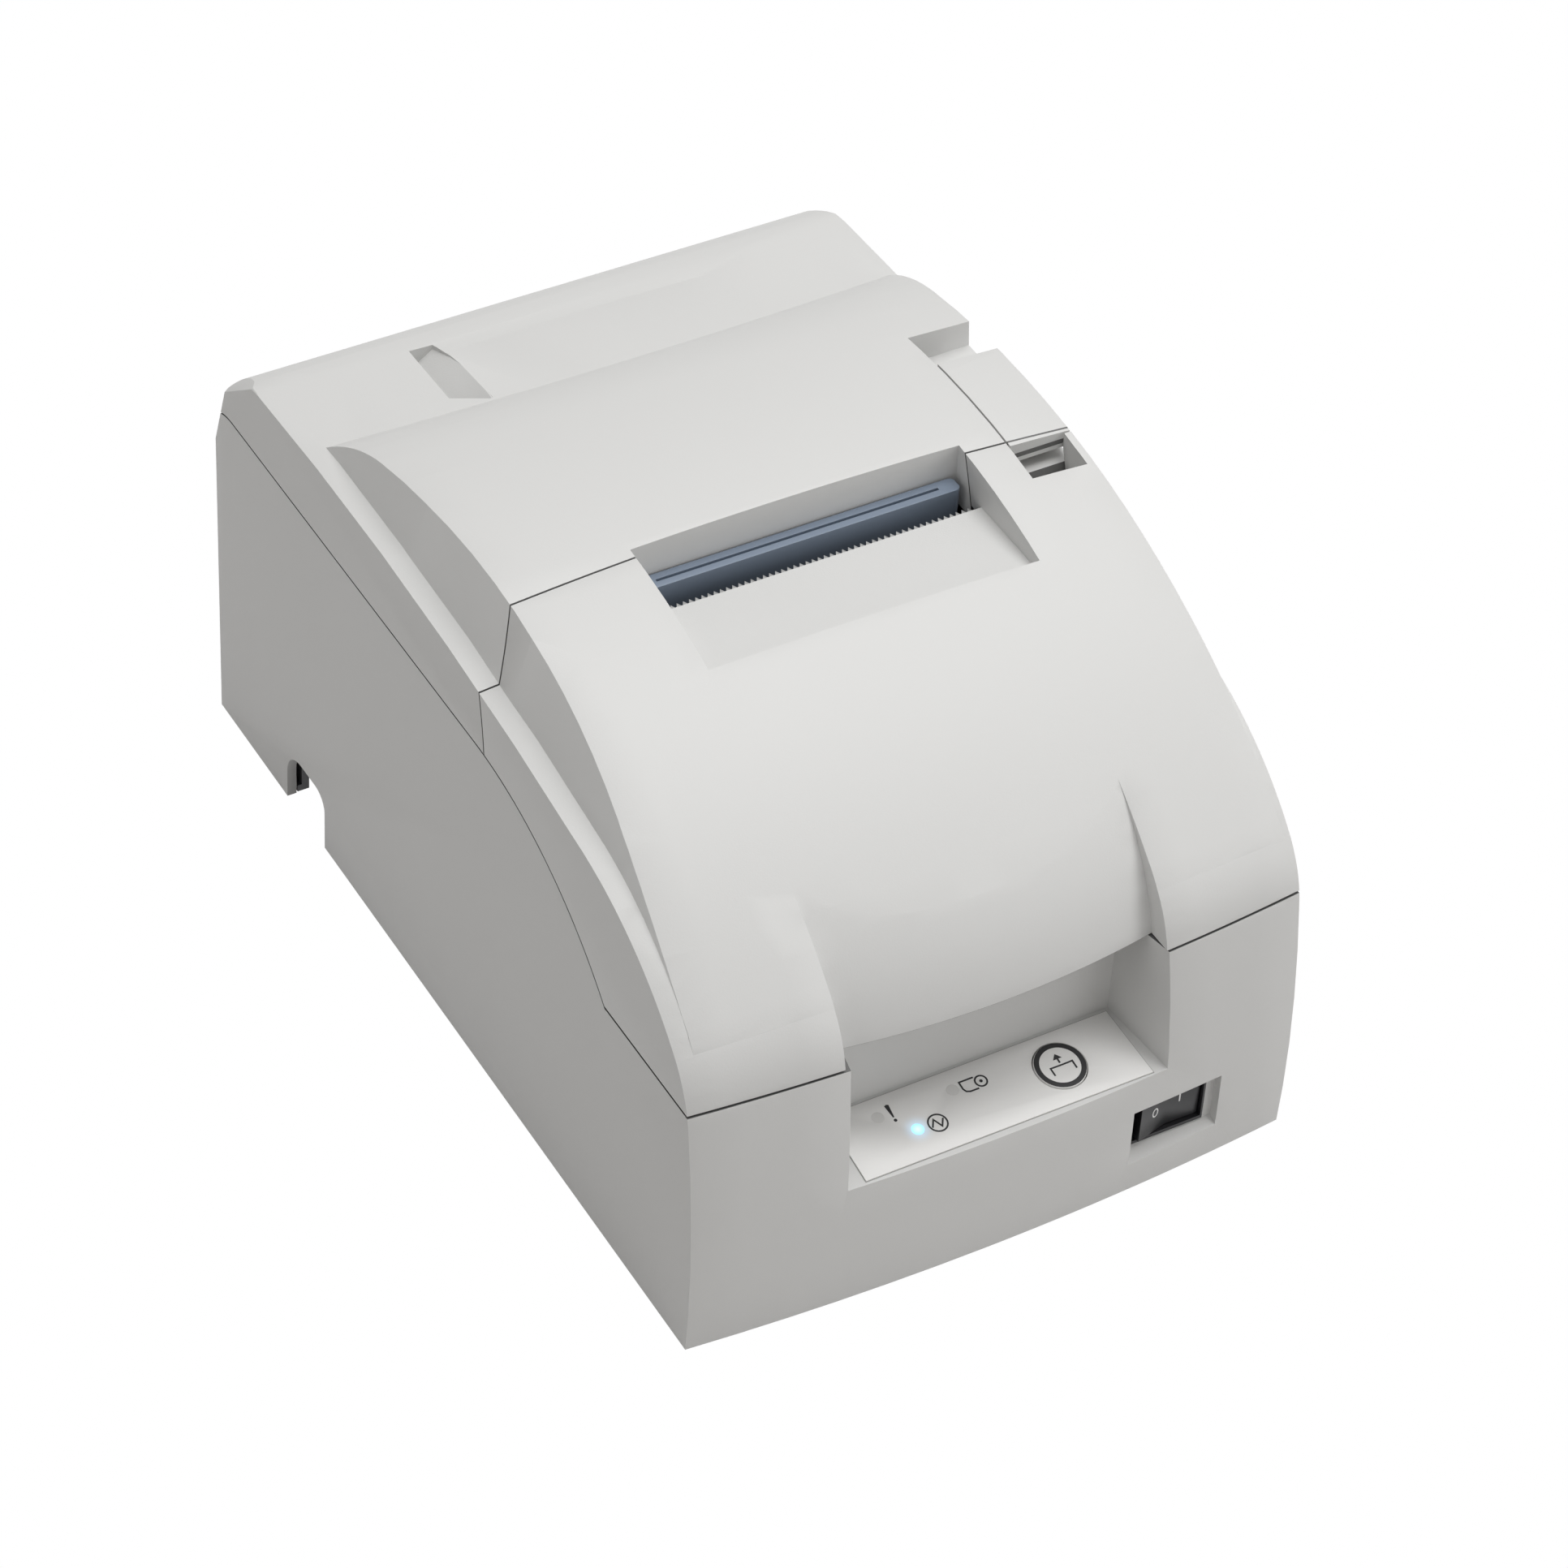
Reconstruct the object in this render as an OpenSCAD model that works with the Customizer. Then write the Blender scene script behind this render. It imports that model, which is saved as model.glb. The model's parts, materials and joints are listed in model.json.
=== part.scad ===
// Receipt printer with an impact print head: a moulded case in three shells, a print
// mechanism on a folded steel chassis, and a bay for a paper roll behind it.
// X runs to the right as seen from the front, the front faces -Y, Z is up.
// The origin is on the floor, under the middle of the case.

/* [Case] */
// Width over the side walls
case_w = 160; // [156:1:170]
// Depth from the middle of the bowed front to the flat rear
case_d = 248; // [246:1:256]
// Height from the floor to the top of the dome
case_h = 138.5; // [137:0.5:141]
// Height of the rubber feet
foot_h = 4; // [3:0.5:5]
// Wall of the three shells
wall = 2.5; // [2:0.1:3]
// How far the front bows out between its corners
front_bow = 4; // [3:0.5:6]
// How far the top is crowned between its edges
top_crown = 2.5; // [2:0.5:3.5]
// Gap between the covers and the body along the sides
seam_gap = 0.4; // [0.3:0.05:0.6]
// Gap under the front edge of the front cover
front_gap = 0.6; // [0.55:0.05:0.9]
// Height of the front seam over the floor
front_seam_z = 74.5; // [73:0.5:76]
// Height of the side seam over the floor
side_seam_z = 102; // [101:0.5:103]
// Chamfer along the outer edge of the side rails
rail_chamfer = 2; // [1:0.5:3]

/* [Dome] */
// Foot of the dome's left wall, from the middle
dome_left_x = 75; // [73:0.5:76]
// Foot of the dome's right wall, from the middle
dome_right_x = 78; // [77:0.5:79]
// Lean of the dome's left wall, in mm inwards per mm of height
dome_left_lean = 0.32; // [0.2:0.02:0.4]
// Lean of the dome's right wall, likewise
dome_right_lean = 0.08; // [0.05:0.01:0.15]
// Half width of the tongue in the middle of the front cover
tongue_half_w = 42; // [40:0.5:44]
// Radius of the tongue's bulge, seen from above
tongue_r = 245; // [230:5:270]
// Depth of the tongue behind the bowed front, in its middle
tongue_inset = 4.1; // [3.6:0.2:5]

/* [Paper slot] */
// Left end of the slot
slot_x0 = -37.5; // [-40:0.5:-36]
// Right end of the slot
slot_x1 = 49; // [48:0.5:52]
// Front edge of the slot, where the tear bar lies
slot_y0 = -16; // [-17:0.5:-15]
// Back wall of the slot in the rear cover
slot_y1 = -5.5; // [-6:0.5:-4.5]
// Height of the tear bar over the floor
tear_z = 127; // [126:0.5:128]
// Front end of the flat before the tear bar
flat_y = -41; // [-46:1:-38]
// Pitch of the tear bar's teeth
tooth_pitch = 1.6; // [1.4:0.1:2.5]
// Top of the paper guide
guide_z = 128.5; // [127.5:0.5:130]
// Thickness of the paper guide
guide_t = 4.6; // [3.6:0.2:4.6]

/* [Opening lever] */
// Left edge of the lever's pocket
lever_x0 = 59.8; // [58:0.2:61]
// Front lip of the lever
lever_y0 = -10; // [-11:0.5:-9]
// Back end of the lever
lever_y1 = 23; // [21:0.5:25]
// Back wall of the lever's pocket
pocket_y1 = 36; // [33:0.5:38]
// Floor of the lever's pocket
pocket_z = 127.5; // [126:0.5:129]
// Clearance round the lever
lever_gap = 0.5; // [0.4:0.1:0.8]
// Radius of the lever's pin
lever_pin_r = 1.25; // [1:0.05:1.5]
// Floor of the finger scoop before the lever
scoop_z = 124.5; // [123:0.5:126]
// Front end of the finger scoop
scoop_y0 = -21; // [-23:0.5:-19]

/* [Hinges] */
// Distance of the rear hinge axis from the rear face
rear_axis_in = 9.6; // [9.4:0.1:10]
// Radius of the seam round the rear hinge
rear_seam_r = 15.9; // [15.5:0.1:16.3]
// Radius of the seam between the covers, about the rear hinge
cover_seam_r = 132.8; // [132:0.2:134]
// Place of the front hinge axis behind the front face
front_axis_in = 11.5; // [11.2:0.1:12]
// Height of the front hinge axis
front_axis_z = 50; // [49:0.5:51]
// Radius of the hinge pins
hinge_pin_r = 2; // [1.8:0.1:2.2]
// Radial clearance of a running fit
run_fit = 0.06; // [0.03:0.01:0.09]

/* [Operation panel] */
// Right end of the panel at its back edge, from the middle
panel_right = 38.5; // [36:0.5:39]
// Left end of the panel
panel_left = 36.5; // [35.5:0.5:37.5]
// Right side of the panel recess at the front face
recess_right = 43.5; // [43:0.5:45]
// Left side of the panel recess at the front face
recess_left = 41.5; // [40.5:0.5:42]
// Height of the panel's front edge
panel_z = 40.2; // [39:0.2:42]
// Tilt of the panel towards the front
panel_tilt = 10; // [8:0.5:13]
// Depth of the panel, along its slope
panel_d = 19.2; // [18:0.2:20]
// Radius of the paper feed button
button_r = 6.3; // [5.5:0.1:6.4]
// Travel of the paper feed button
button_travel = 0.8; // [0.4:0.1:1]

/* [Power switch] */
// Middle of the switch, from the middle of the case
switch_x = 47; // [46:0.5:48]
// Height of the middle of the switch
switch_z = 22; // [21:0.5:23]
// Width of the switch
switch_w = 20.6; // [19:0.2:21]
// Height of the switch
switch_h = 13; // [12:0.2:14]
// Tilt of the rocker
rocker_tilt = 7; // [5:0.5:9]

/* [Paper and print] */
// Plane of the paper in the print line
paper_y = -12; // [-12.5:0.25:-11.75]
// Middle of the paper
paper_x = 6; // [5:0.5:7]
// Width of the platen
platen_w = 84; // [82:1:86]
// Height of the print line
print_z = 95; // [94:0.5:96]
// Radius of the feed roller's rubber
feed_r = 6; // [5.5:0.1:6.2]
// Radius of the pinch rollers
pinch_r = 4; // [3.6:0.1:4.2]
// Height of the feed roller's axis
feed_z = 76; // [75:0.5:77]
// Radius of the shafts of the rollers
roller_shaft_r = 2.5; // [2.2:0.1:2.8]
// Radius of the carriage shaft
carriage_shaft_r = 3; // [2.6:0.1:3.4]
// Half of the carriage's travel
carriage_travel = 33; // [20:1:34]
// Radius of the print head
head_r = 10.5; // [10:0.1:10.8]
// Radius of the paper roll that the tray holds
roll_r = 41.5; // [38:0.5:42]
// Place of the roll's axis
roll_y = 57; // [56.5:0.5:59]
// Height of the roll's axis
roll_z = 72; // [71:0.5:73]

/* [Gears] */
// Gear module
gear_m = 0.8; // [0.78:0.01:0.82]
// Teeth of the feed roller's gear
feed_teeth = 30; // [29:1:31]
// Teeth of the middle gear
middle_teeth = 28; // [27:1:29]
// Teeth of the motor's pinion
pinion_teeth = 12; // [11:1:13]
// Width of the gears
gear_w = 4; // [3:0.5:4.5]

/* [Chassis] */
// Distance of the chassis side plates from the middle, to their inner faces
chassis_half_w = 64; // [63.5:0.1:64.3]
// Thickness of the chassis plate
chassis_t = 1.5; // [1.2:0.1:1.6]
// Height of the chassis deck
deck_z = 58; // [57.5:0.5:58.5]

/* [Hidden] */
$fn = 64;
eps = 0.01;
big = 400;

// Faces of the case
half_w = case_w / 2;
front_y = -case_d / 2;
rear_y = case_d / 2;
case_z = foot_h;
waist_z = 20;          // where the front face stands out furthest

// The outer skin is swept about one far axis behind and below the case, so that it bows
// to the front and is crowned on top.  The axis passes A and leans by far_tilt.
function bow_radius(bow) = (half_w * half_w + bow * bow) / (2 * bow);
top_y = 12;
far_a = [front_y + bow_radius(front_bow), waist_z];
far_b = [top_y, case_h - bow_radius(top_crown)];
far_tilt = atan2(far_a[0] - far_b[0], far_a[1] - far_b[1]);
far_sweep = 20;

// A profile is a chain of arcs that all turn the same way, each [radius, heading at its end].
// Headings are in degrees from +Y, and the inside lies to the right of the path.
function inward(h) = [sin(h), -cos(h)];
face_r = 300;
face_h0 = 90 + asin((waist_z - case_z) / face_r);
face_h1 = 90 - asin((front_seam_z - waist_z) / face_r);
function face_point(h) = [front_y + face_r, waist_z] - face_r * inward(h);
rail_arcs = [[face_r, face_h1], [31, 48], [76, 10.5], [690, -6]];
dome_start_in = 0.4;
dome_arcs = [[34, 44.1], [162, 6.6], [205, -11], [49, -45]];
tongue_arcs = [[60, 36]];
tongue_h0 = 76;
tongue_y0 = face_point(face_h1)[0] + tongue_inset;

// End points of the chain's arcs, and the centre of its arc k
function arc_end(p, h0, arc) = p + arc[0] * inward(h0) - arc[0] * inward(arc[1]);
function chain_point(p, h0, arcs, k) = k == 0 ? p :
    arc_end(chain_point(p, h0, arcs, k - 1), k == 1 ? h0 : arcs[k - 2][1], arcs[k - 1]);
function chain_heading(h0, arcs, k) = k == 0 ? h0 : arcs[k - 1][1];
function chain_centre(p, h0, arcs, k) =
    chain_point(p, h0, arcs, k) + arcs[k][0] * inward(chain_heading(h0, arcs, k));
function inset_arcs(arcs, t) = [for (a = arcs) [a[0] - t, a[1]]];
// Points along a chain, one for every few degrees of turn
function chain_samples(p, h0, arcs, turn) = [for (k = [0 : len(arcs) - 1])
    let (h = chain_heading(h0, arcs, k), n = ceil(abs(arcs[k][1] - h) / turn), c = chain_centre(p, h0, arcs, k))
    for (i = [0 : n - 1]) c - arcs[k][0] * inward(h + (arcs[k][1] - h) * i / n)];

// The area inside a chain of arcs, closed through the given points
curve_turn = 3;
module chain_area(p, h0, arcs, close) {
    polygon(concat(chain_samples(p, h0, arcs, curve_turn), [chain_point(p, h0, arcs, len(arcs))], close));
}

// Sweeps a side view drawn in Y and Z about the far axis
module far_sweep() {
    translate([0, far_a[0], far_a[1]]) rotate([-far_tilt, 0, 0]) rotate([0, 0, -90 - far_sweep / 2])
        rotate_extrude(angle = far_sweep, $fn = 720)
            rotate(-far_tilt) mirror([1, 0]) translate(-far_a) children();
}
// Extrudes a side view drawn in Y and Z from x0 to x1
module across(x0, x1) {
    translate([x0, 0, 0]) rotate([90, 0, 90]) linear_extrude(x1 - x0) children();
}
module box(lo, hi) {
    translate(lo) cube(hi - lo);
}
module at_side(side) {
    if (side > 0) children(); else mirror([1, 0, 0]) children();
}
// A rod along X
module rod(x0, x1, y, z, r) {
    translate([x0, y, z]) rotate([0, 90, 0]) cylinder(h = x1 - x0, r = r);
}

// The line of the side rail, sampled for the walls and chamfers that follow it
rear_round_r = 32;
rear_round_c = [rear_y - rear_round_r, side_seam_z + 21.5 - rear_round_r];
rail_line = concat(
    chain_samples(face_point(face_h0), face_h0, rail_arcs, 5),
    [for (a = [70 : -35 : 0]) rear_round_c + rear_round_r * [cos(a), sin(a)]]);
rail_drop = 3;         // the rail at the sides lies lower than in the middle by the crown

// The space inside a wall that rises from the rail with a lean, on the left side
module inside_wall(foot_x, lean, drop, t) {
    a = atan(lean);
    shift = t - foot_x * cos(a);
    rotate([0, a, 0]) rotate([180, 0, 90]) linear_extrude(big, center = true)
        polygon(concat(
            [for (p = rail_line) [p[0], shift - (p[1] - rail_drop - drop) * sin(a)]],
            [[rear_y + 20, shift], [rear_y + 20, big], [front_y - 20, big], [front_y - 20, shift]]));
}

// The rails, the front and the rear: everything but the dome
module rail_solid(t) {
    start = face_point(face_h0) + t * inward(face_h0);
    low = case_z - (t > 0 ? 5 : 0);
    intersection() {
        far_sweep() chain_area(start, face_h0, inset_arcs(rail_arcs, t),
            [[rear_y + 40, 100], [rear_y + 40, -10], [start[0], -10]]);
        box([-half_w + t, front_y - 10, low], [half_w - t, rear_y - t, case_h + 20]);
        across(-half_w - 1, half_w + 1) rear_rounding(t);
        inside_wall(half_w, 1, -rail_chamfer, t * sqrt(2) - t * 0.4);
        mirror([1, 0, 0]) inside_wall(half_w, 1, -rail_chamfer, t * sqrt(2) - t * 0.4);
    }
}
module rear_rounding(t) {
    polygon([[front_y - 10, 0], [rear_y - t, 0], [rear_y - t, rear_round_c[1]],
        rear_round_c, [rear_round_c[0], case_h + 5], [front_y - 10, case_h + 5]]);
    intersection() {
        translate(rear_round_c) circle(rear_round_r - t, $fn = 120);
        translate(rear_round_c) square(rear_round_r + 5);
    }
}
// The dome between the rails
module dome_solid(t) {
    h0 = face_h1;
    start = face_point(h0) + (t + dome_start_in) * inward(h0);
    last = chain_point(start, h0, inset_arcs(dome_arcs, t), len(dome_arcs));
    intersection() {
        far_sweep() chain_area(start, h0, inset_arcs(dome_arcs, t),
            [last + [12, -12], [last[0], side_seam_z], [start[0] + 45, side_seam_z - 6],
                [start[0] + 6, front_seam_z - 8]]);
        box([-half_w + 1 + t, front_y, 50], [half_w - 1 - t, rear_y, case_h + 10]);
        inside_wall(dome_left_x, dome_left_lean, 0, t);
        mirror([1, 0, 0]) inside_wall(dome_right_x, dome_right_lean, 0, t);
    }
}
module case_solid(t) {
    union() {
        rail_solid(t);
        dome_solid(t);
    }
}
module case_skin() {
    difference() {
        case_solid(0);
        case_solid(wall);
    }
}

// Side view of the body below its seam with the covers; g is half the gap
seam_corner_y = -76.5;
seam_arc_c = [-12, 12.6 + side_seam_z - 102];
seam_arc_r = side_seam_z - seam_arc_c[1];
rear_axis = [rear_y - rear_axis_in, side_seam_z - rear_seam_r];
module below_seam(g, fg) {
    difference() {
        polygon([[front_y - 10, -1], [rear_y + 10, -1], [rear_y + 10, side_seam_z - g],
            [seam_arc_c[0], side_seam_z - g], [seam_arc_c[0] - 1, front_seam_z - fg],
            [front_y - 10, front_seam_z - fg]]);
        // behind the hinge axis the seam turns round the axis
        difference() {
            translate([rear_axis[0], rear_axis[1] - 30]) square([60, 90]);
            translate(rear_axis) circle(rear_seam_r - g, $fn = 120);
            translate([rear_axis[0] - 1, -10]) square([80, rear_axis[1] + 10]);
        }
    }
    intersection() {
        translate(seam_arc_c) circle(seam_arc_r - g, $fn = 240);
        polygon([[seam_corner_y, 10], [seam_corner_y, side_seam_z + 5],
            [seam_arc_c[0] + eps, side_seam_z + 5], [seam_arc_c[0] + eps, 10]]);
    }
}
module body_zone(g, fg) {
    across(-half_w - 2, half_w + 2) below_seam(g, fg);
}
module cover_seam_disc(r) {
    rod(-half_w - 3, half_w + 3, rear_axis[0], rear_axis[1], r, $fn = 360);
}
module covers_zone() {
    difference() {
        box([-half_w - 1, front_y - 9, 55], [half_w + 1, rear_y + 9, case_h + 9]);
        body_zone(-seam_gap / 2, -front_gap / 2);
    }
}

// The tongue: a bulged panel set into the middle of the front cover
tongue_c = tongue_y0 + tongue_r;
module tongue_solid(t) {
    start = [tongue_y0, front_seam_z] + t * inward(tongue_h0);
    last = chain_point(start, tongue_h0, inset_arcs(tongue_arcs, t), 1);
    tip = last + 60 * [cos(tongue_arcs[0][1]), sin(tongue_arcs[0][1])];
    low = start - 14 * [cos(tongue_h0), sin(tongue_h0)];
    translate([0, tongue_c, 0]) rotate(-90 - 20) rotate_extrude(angle = 40, $fn = 360)
        mirror([1, 0]) translate([-tongue_c, 0])
            chain_area(start, tongue_h0, inset_arcs(tongue_arcs, t), [tip, [tip[0], low[1]], low]);
}
module front_solid(t) {
    difference() {
        case_solid(t);
        difference() {
            box([-tongue_half_w - t, front_y - 10, 50], [tongue_half_w + t, -55, case_h + 10]);
            tongue_solid(t);
        }
    }
}
module front_zone() {
    difference() {
        covers_zone();
        cover_seam_disc(cover_seam_r + seam_gap / 2);
    }
}
module rear_zone() {
    intersection() {
        covers_zone();
        cover_seam_disc(cover_seam_r - seam_gap / 2);
    }
}

// Places of the hinges and of the lever's pin, each [y, z]
front_axis = [front_y + front_axis_in, front_axis_z];
pin_at = [lever_y1 - 3.5, pocket_z + 3.6];
arm_x0 = half_w - 12.5;
arm_x1 = half_w - 7.5;
front_arm_r = front_seam_z - front_axis_z + 2.7;
rear_arm_r = rear_seam_r + 0.9;
arm_t = 4.2;
eye_r = hinge_pin_r + 2.2;
arm_bore = hinge_pin_r + run_fit;

// A ring sector about the origin, from angle a0 to a1
module sector(r0, r1, a0, a1) {
    difference() {
        intersection() {
            circle(r1, $fn = 120);
            polygon(concat([[0, 0]], [for (i = [0 : 4]) let (a = a0 + (a1 - a0) * i / 4)
                2 * r1 * [cos(a), sin(a)]]));
        }
        circle(r0, $fn = 120);
    }
}
// A hinge arm that swings round the wall: an eye, a leg and a sector up to the cover
module swan_arm(axis, leg_a, r0, a1) {
    translate(axis) difference() {
        union() {
            circle(eye_r);
            rotate(leg_a) translate([0, -2.2]) square([r0 + arm_t - 0.5, 4.4]);
            sector(r0, r0 + arm_t, leg_a - 4, a1);
        }
        circle(arm_bore);
    }
}

// The recess before the paper slot, the slot and the finger scoop
module flat_cut() {
    across(slot_x0, slot_x1)
        polygon([[flat_y, tear_z], [8, tear_z], [8, 160], [flat_y - 14, 160]]);
}
module slot_cut(y0) {
    box([slot_x0, y0, 90], [slot_x1, slot_y1, 160]);
}
scoop_x1 = lever_x0 + 15;
module scoop_cut(d) {
    across(lever_x0 - d, scoop_x1 + d)
        polygon([[scoop_y0 - d, 160], [scoop_y0 - d, scoop_z + 6 - d], [scoop_y0 + 5, scoop_z - d],
            [0, scoop_z - d], [0, 160]]);
}

module front_cover() {
    color("whitesmoke") {
        difference() {
            intersection() {
                union() {
                    difference() {
                        front_solid(0);
                        front_solid(wall);
                    }
                    intersection() {
                        dome_solid(0);
                        union() {
                            box([slot_x0 - wall, flat_y - 9, tear_z - wall],
                                [slot_x1 + wall, 0, case_h + 5]);
                            scoop_cut(wall);
                        }
                    }
                }
                front_zone();
            }
            flat_cut();
            slot_cut(slot_y0 - 1);
            scoop_cut(0);
            box([lever_x0, lever_y0 - lever_gap, pocket_z], [half_w + 5, 0, case_h + 20]);
            // seat of the tear bar under the edge of the flat
            box([slot_x0 + 0.3, slot_y0 - 9, tear_z - 5], [slot_x1 - 0.3, slot_y0 + 1, tear_z - 0.8]);
        }
        for (side = [-1, 1]) at_side(side) intersection() {
            rail_solid(0.8);
            across(arm_x0, arm_x1) {
                swan_arm(front_axis, -10, front_arm_r, 96);
                polygon([front_axis + [-1, front_arm_r + 1.5], front_axis + [14, front_arm_r - 2],
                    front_axis + [24, front_arm_r + 30], front_axis + [-1, front_arm_r + 30]]);
            }
        }
    }
}
// Seen from above the finger pocket has three straight sides and one that bows to the right.
// It is deepest, at finger_z, along its left side.
finger_x = -41.5;
finger_z = 117;
module finger_pocket(t) {
    polygon(concat([[finger_x - t, 76 - t], [finger_x - t, 97 + t]],
        [for (a = [18 : -5.5 : -4]) [-99.1, 76] + (67 + t) * [cos(a), sin(a)]], [[-33 + t, 71.3 - t]]));
}
module rear_cover() {
    color("whitesmoke") {
        difference() {
            intersection() {
                union() {
                    case_skin();
                    intersection() {
                        rail_solid(0);
                        translate([0, 0, finger_z - wall]) linear_extrude(30) finger_pocket(wall);
                    }
                    intersection() {
                        dome_solid(0);
                        union() {
                            box([slot_x0 - 2, -30, tear_z - 6], [slot_x1 + 2, slot_y1 + 2, case_h + 5]);
                            box([lever_x0 - 2, -30, pocket_z - 2], [half_w + 1, pocket_y1 + 2, case_h + 5]);
                        }
                    }
                }
                rear_zone();
            }
            slot_cut(-40);
            box([lever_x0, -40, pocket_z], [half_w + 5, pocket_y1, case_h + 20]);
            // way of the catch leg through the pocket's floor
            box([leg_x - 2.6, pin_at[0] - 8, pocket_z - 5], [leg_x + 2.6, pin_at[0] + 2.8, pocket_z + 1]);
            // the finger pocket's floor falls to the left
            intersection() {
                translate([0, 0, 100]) linear_extrude(60) finger_pocket(0);
                translate([finger_x, 110, finger_z]) rotate([90, 0, 0]) linear_extrude(50)
                    polygon([[-5, 0], [0, 0], [9, 7.2], [20, 7.2], [20, 40], [-5, 40]]);
            }
        }
        // lugs for the lever's pin
        for (x = [leg_x - 5.8, leg_x + 3.4]) difference() {
            across(x, x + 2.4) {
                translate(pin_at) circle(2.8);
                translate([pin_at[0] - 2.8, pocket_z - 1]) square([5.6, pin_at[1] - pocket_z + 1]);
            }
            rod(x - 1, x + 4, pin_at[0], pin_at[1], lever_pin_r);
        }
        for (side = [-1, 1]) at_side(side) intersection() {
            rail_solid(0.8);
            across(arm_x0, arm_x1) {
                swan_arm(rear_axis, 172, rear_arm_r, 78);
                polygon([rear_axis + [-6, rear_arm_r + 1.5], rear_axis + [4, rear_arm_r + 1.5],
                    rear_axis + [8, rear_arm_r + 20], rear_axis + [-16, rear_arm_r + 30]]);
            }
        }
    }
}

// The lever lies flush in its pocket; its catch leg hangs down to the chassis
leg_x = lever_x0 + 9.2;
striker_at = [pin_at[0] + 6.2, 106];
module open_lever() {
    color("gainsboro") difference() {
        union() {
            intersection() {
                dome_solid(0);
                across(lever_x0 + lever_gap, half_w + 2) {
                    polygon([[lever_y0, 160], [lever_y0, pocket_z + 3.2], [lever_y0 + 5, pocket_z + 0.6],
                        [pin_at[0], pocket_z + 0.6], [pin_at[0] + 0.5, pin_at[1]],
                        [lever_y1, pin_at[1]], [lever_y1, 160]]);
                    translate(pin_at) circle(3);
                }
            }
            // catch leg, its nose in front of the striker
            across(leg_x - 2, leg_x + 2) polygon([[pin_at[0] - 1.6, pin_at[1]],
                [pin_at[0] - 1.6, striker_at[1] - 5], [striker_at[0] - 3.2, striker_at[1] - 5],
                [striker_at[0] - 3.2, striker_at[1] - 2.6], [pin_at[0] + 1.6, striker_at[1] - 1],
                [pin_at[0] + 1.6, pin_at[1]]]);
        }
        // hollow underside, and room for the lugs and the spring
        box([lever_x0 + lever_gap + 1.7, lever_y0 + 6, pocket_z - 1],
            [half_w - 5, pin_at[0] - 3.2, pocket_z + 5.5]);
        for (x = [leg_x - 8.4, leg_x + 3]) rod(x, x + 5.4 - (x > leg_x ? 2.2 : 0), pin_at[0], pin_at[1], 3.4);
        for (x = [leg_x - 8.4, leg_x + 3])
            box([x, pin_at[0] - 4.5, pocket_z - 1], [x + 5.4 - (x > leg_x ? 2.2 : 0), pin_at[0] + 3.4, pin_at[1]]);
        rod(leg_x - 3.2, leg_x + 3.2, pin_at[0], pin_at[1], lever_pin_r + run_fit);
    }
}
module lever_pin() {
    color("silver") rod(leg_x - 8, leg_x + 5.8, pin_at[0], pin_at[1], lever_pin_r);
}
// A torsion spring on the pin, left of the lugs
module lever_spring() {
    wire = 0.3;
    color("silver") {
        for (k = [0 : 2]) translate([leg_x - 6.4 - k * 2.2 * wire, pin_at[0], pin_at[1]])
            rotate([0, 90, 0]) rotate_extrude($fn = 48) translate([lever_pin_r + wire + 0.05, 0])
                circle(wire, $fn = 16);
        translate([leg_x - 6.4 - 4.4 * wire, pin_at[0], pocket_z])
            cylinder(h = pin_at[1] - pocket_z - lever_pin_r - wire - 0.05, r = wire, $fn = 16);
        translate([leg_x - 6.4, pin_at[0] - lever_pin_r - wire - 0.05, pin_at[1]])
            rotate([90, 0, 0]) cylinder(h = 7, r = wire, $fn = 16);
    }
}

// The body: walls, the recess of the operation panel, switch recess, brackets and posts
panel_y0 = front_y + 2.4;
panel_back = panel_y0 + panel_d * cos(panel_tilt);
module on_panel() {
    translate([0, panel_y0, panel_z]) rotate([panel_tilt, 0, 0]) children();
}
module recess_space(t) {
    intersection() {
        linear_extrude(120) polygon([
            [-recess_left - t - 0.6, front_y - 8], [recess_right + t + 0.6, front_y - 8],
            [recess_right + t, front_y + 2], [panel_right + t + 1, panel_back + 1 + t],
            [-panel_left - t - 1, panel_back + 1 + t], [-recess_left - t, front_y + 2]]);
        on_panel() box([-70, -30, -t], [70, 60, 90]);
    }
}
button_at = [20.5, 10];
led_r = 1.5;
led_at = [[-25.6, 14.1], [-5.9, 14], [-18.7, 7.7]];     // error, paper, power
board_drop = 10;
tact_h = 3.15;
board_posts = [[-34, 6.5], [34, 6.5], [-34, panel_d - 3], [34, panel_d - 3]];
notch_y = [64.8, 85.8];
notch_top = 20.4;
notch_r = [5, 8];      // corners of the notch, front and rear
post_at = [[-70, -100], [70, -100], [-70, 108], [70, 108]];
post_h = 30;
plate_z0 = foot_h + 0.3;
plate_z1 = plate_z0 + 2;
face_at_switch = front_y + front_bow * pow(switch_x / half_w, 2);
switch_face = face_at_switch + 3.4;
module cable_notch() {
    front_c = [notch_y[0] + notch_r[0], notch_top - notch_r[0]];
    rear_c = [notch_y[1] - notch_r[1], notch_top - notch_r[1]];
    polygon(concat([[notch_y[1], -1], [notch_y[0], -1]],
        [for (a = [180 : -15 : 90]) front_c + notch_r[0] * [cos(a), sin(a)]],
        [for (a = [90 : -10 : 0]) rear_c + notch_r[1] * [cos(a), sin(a)]]));
}
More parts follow.
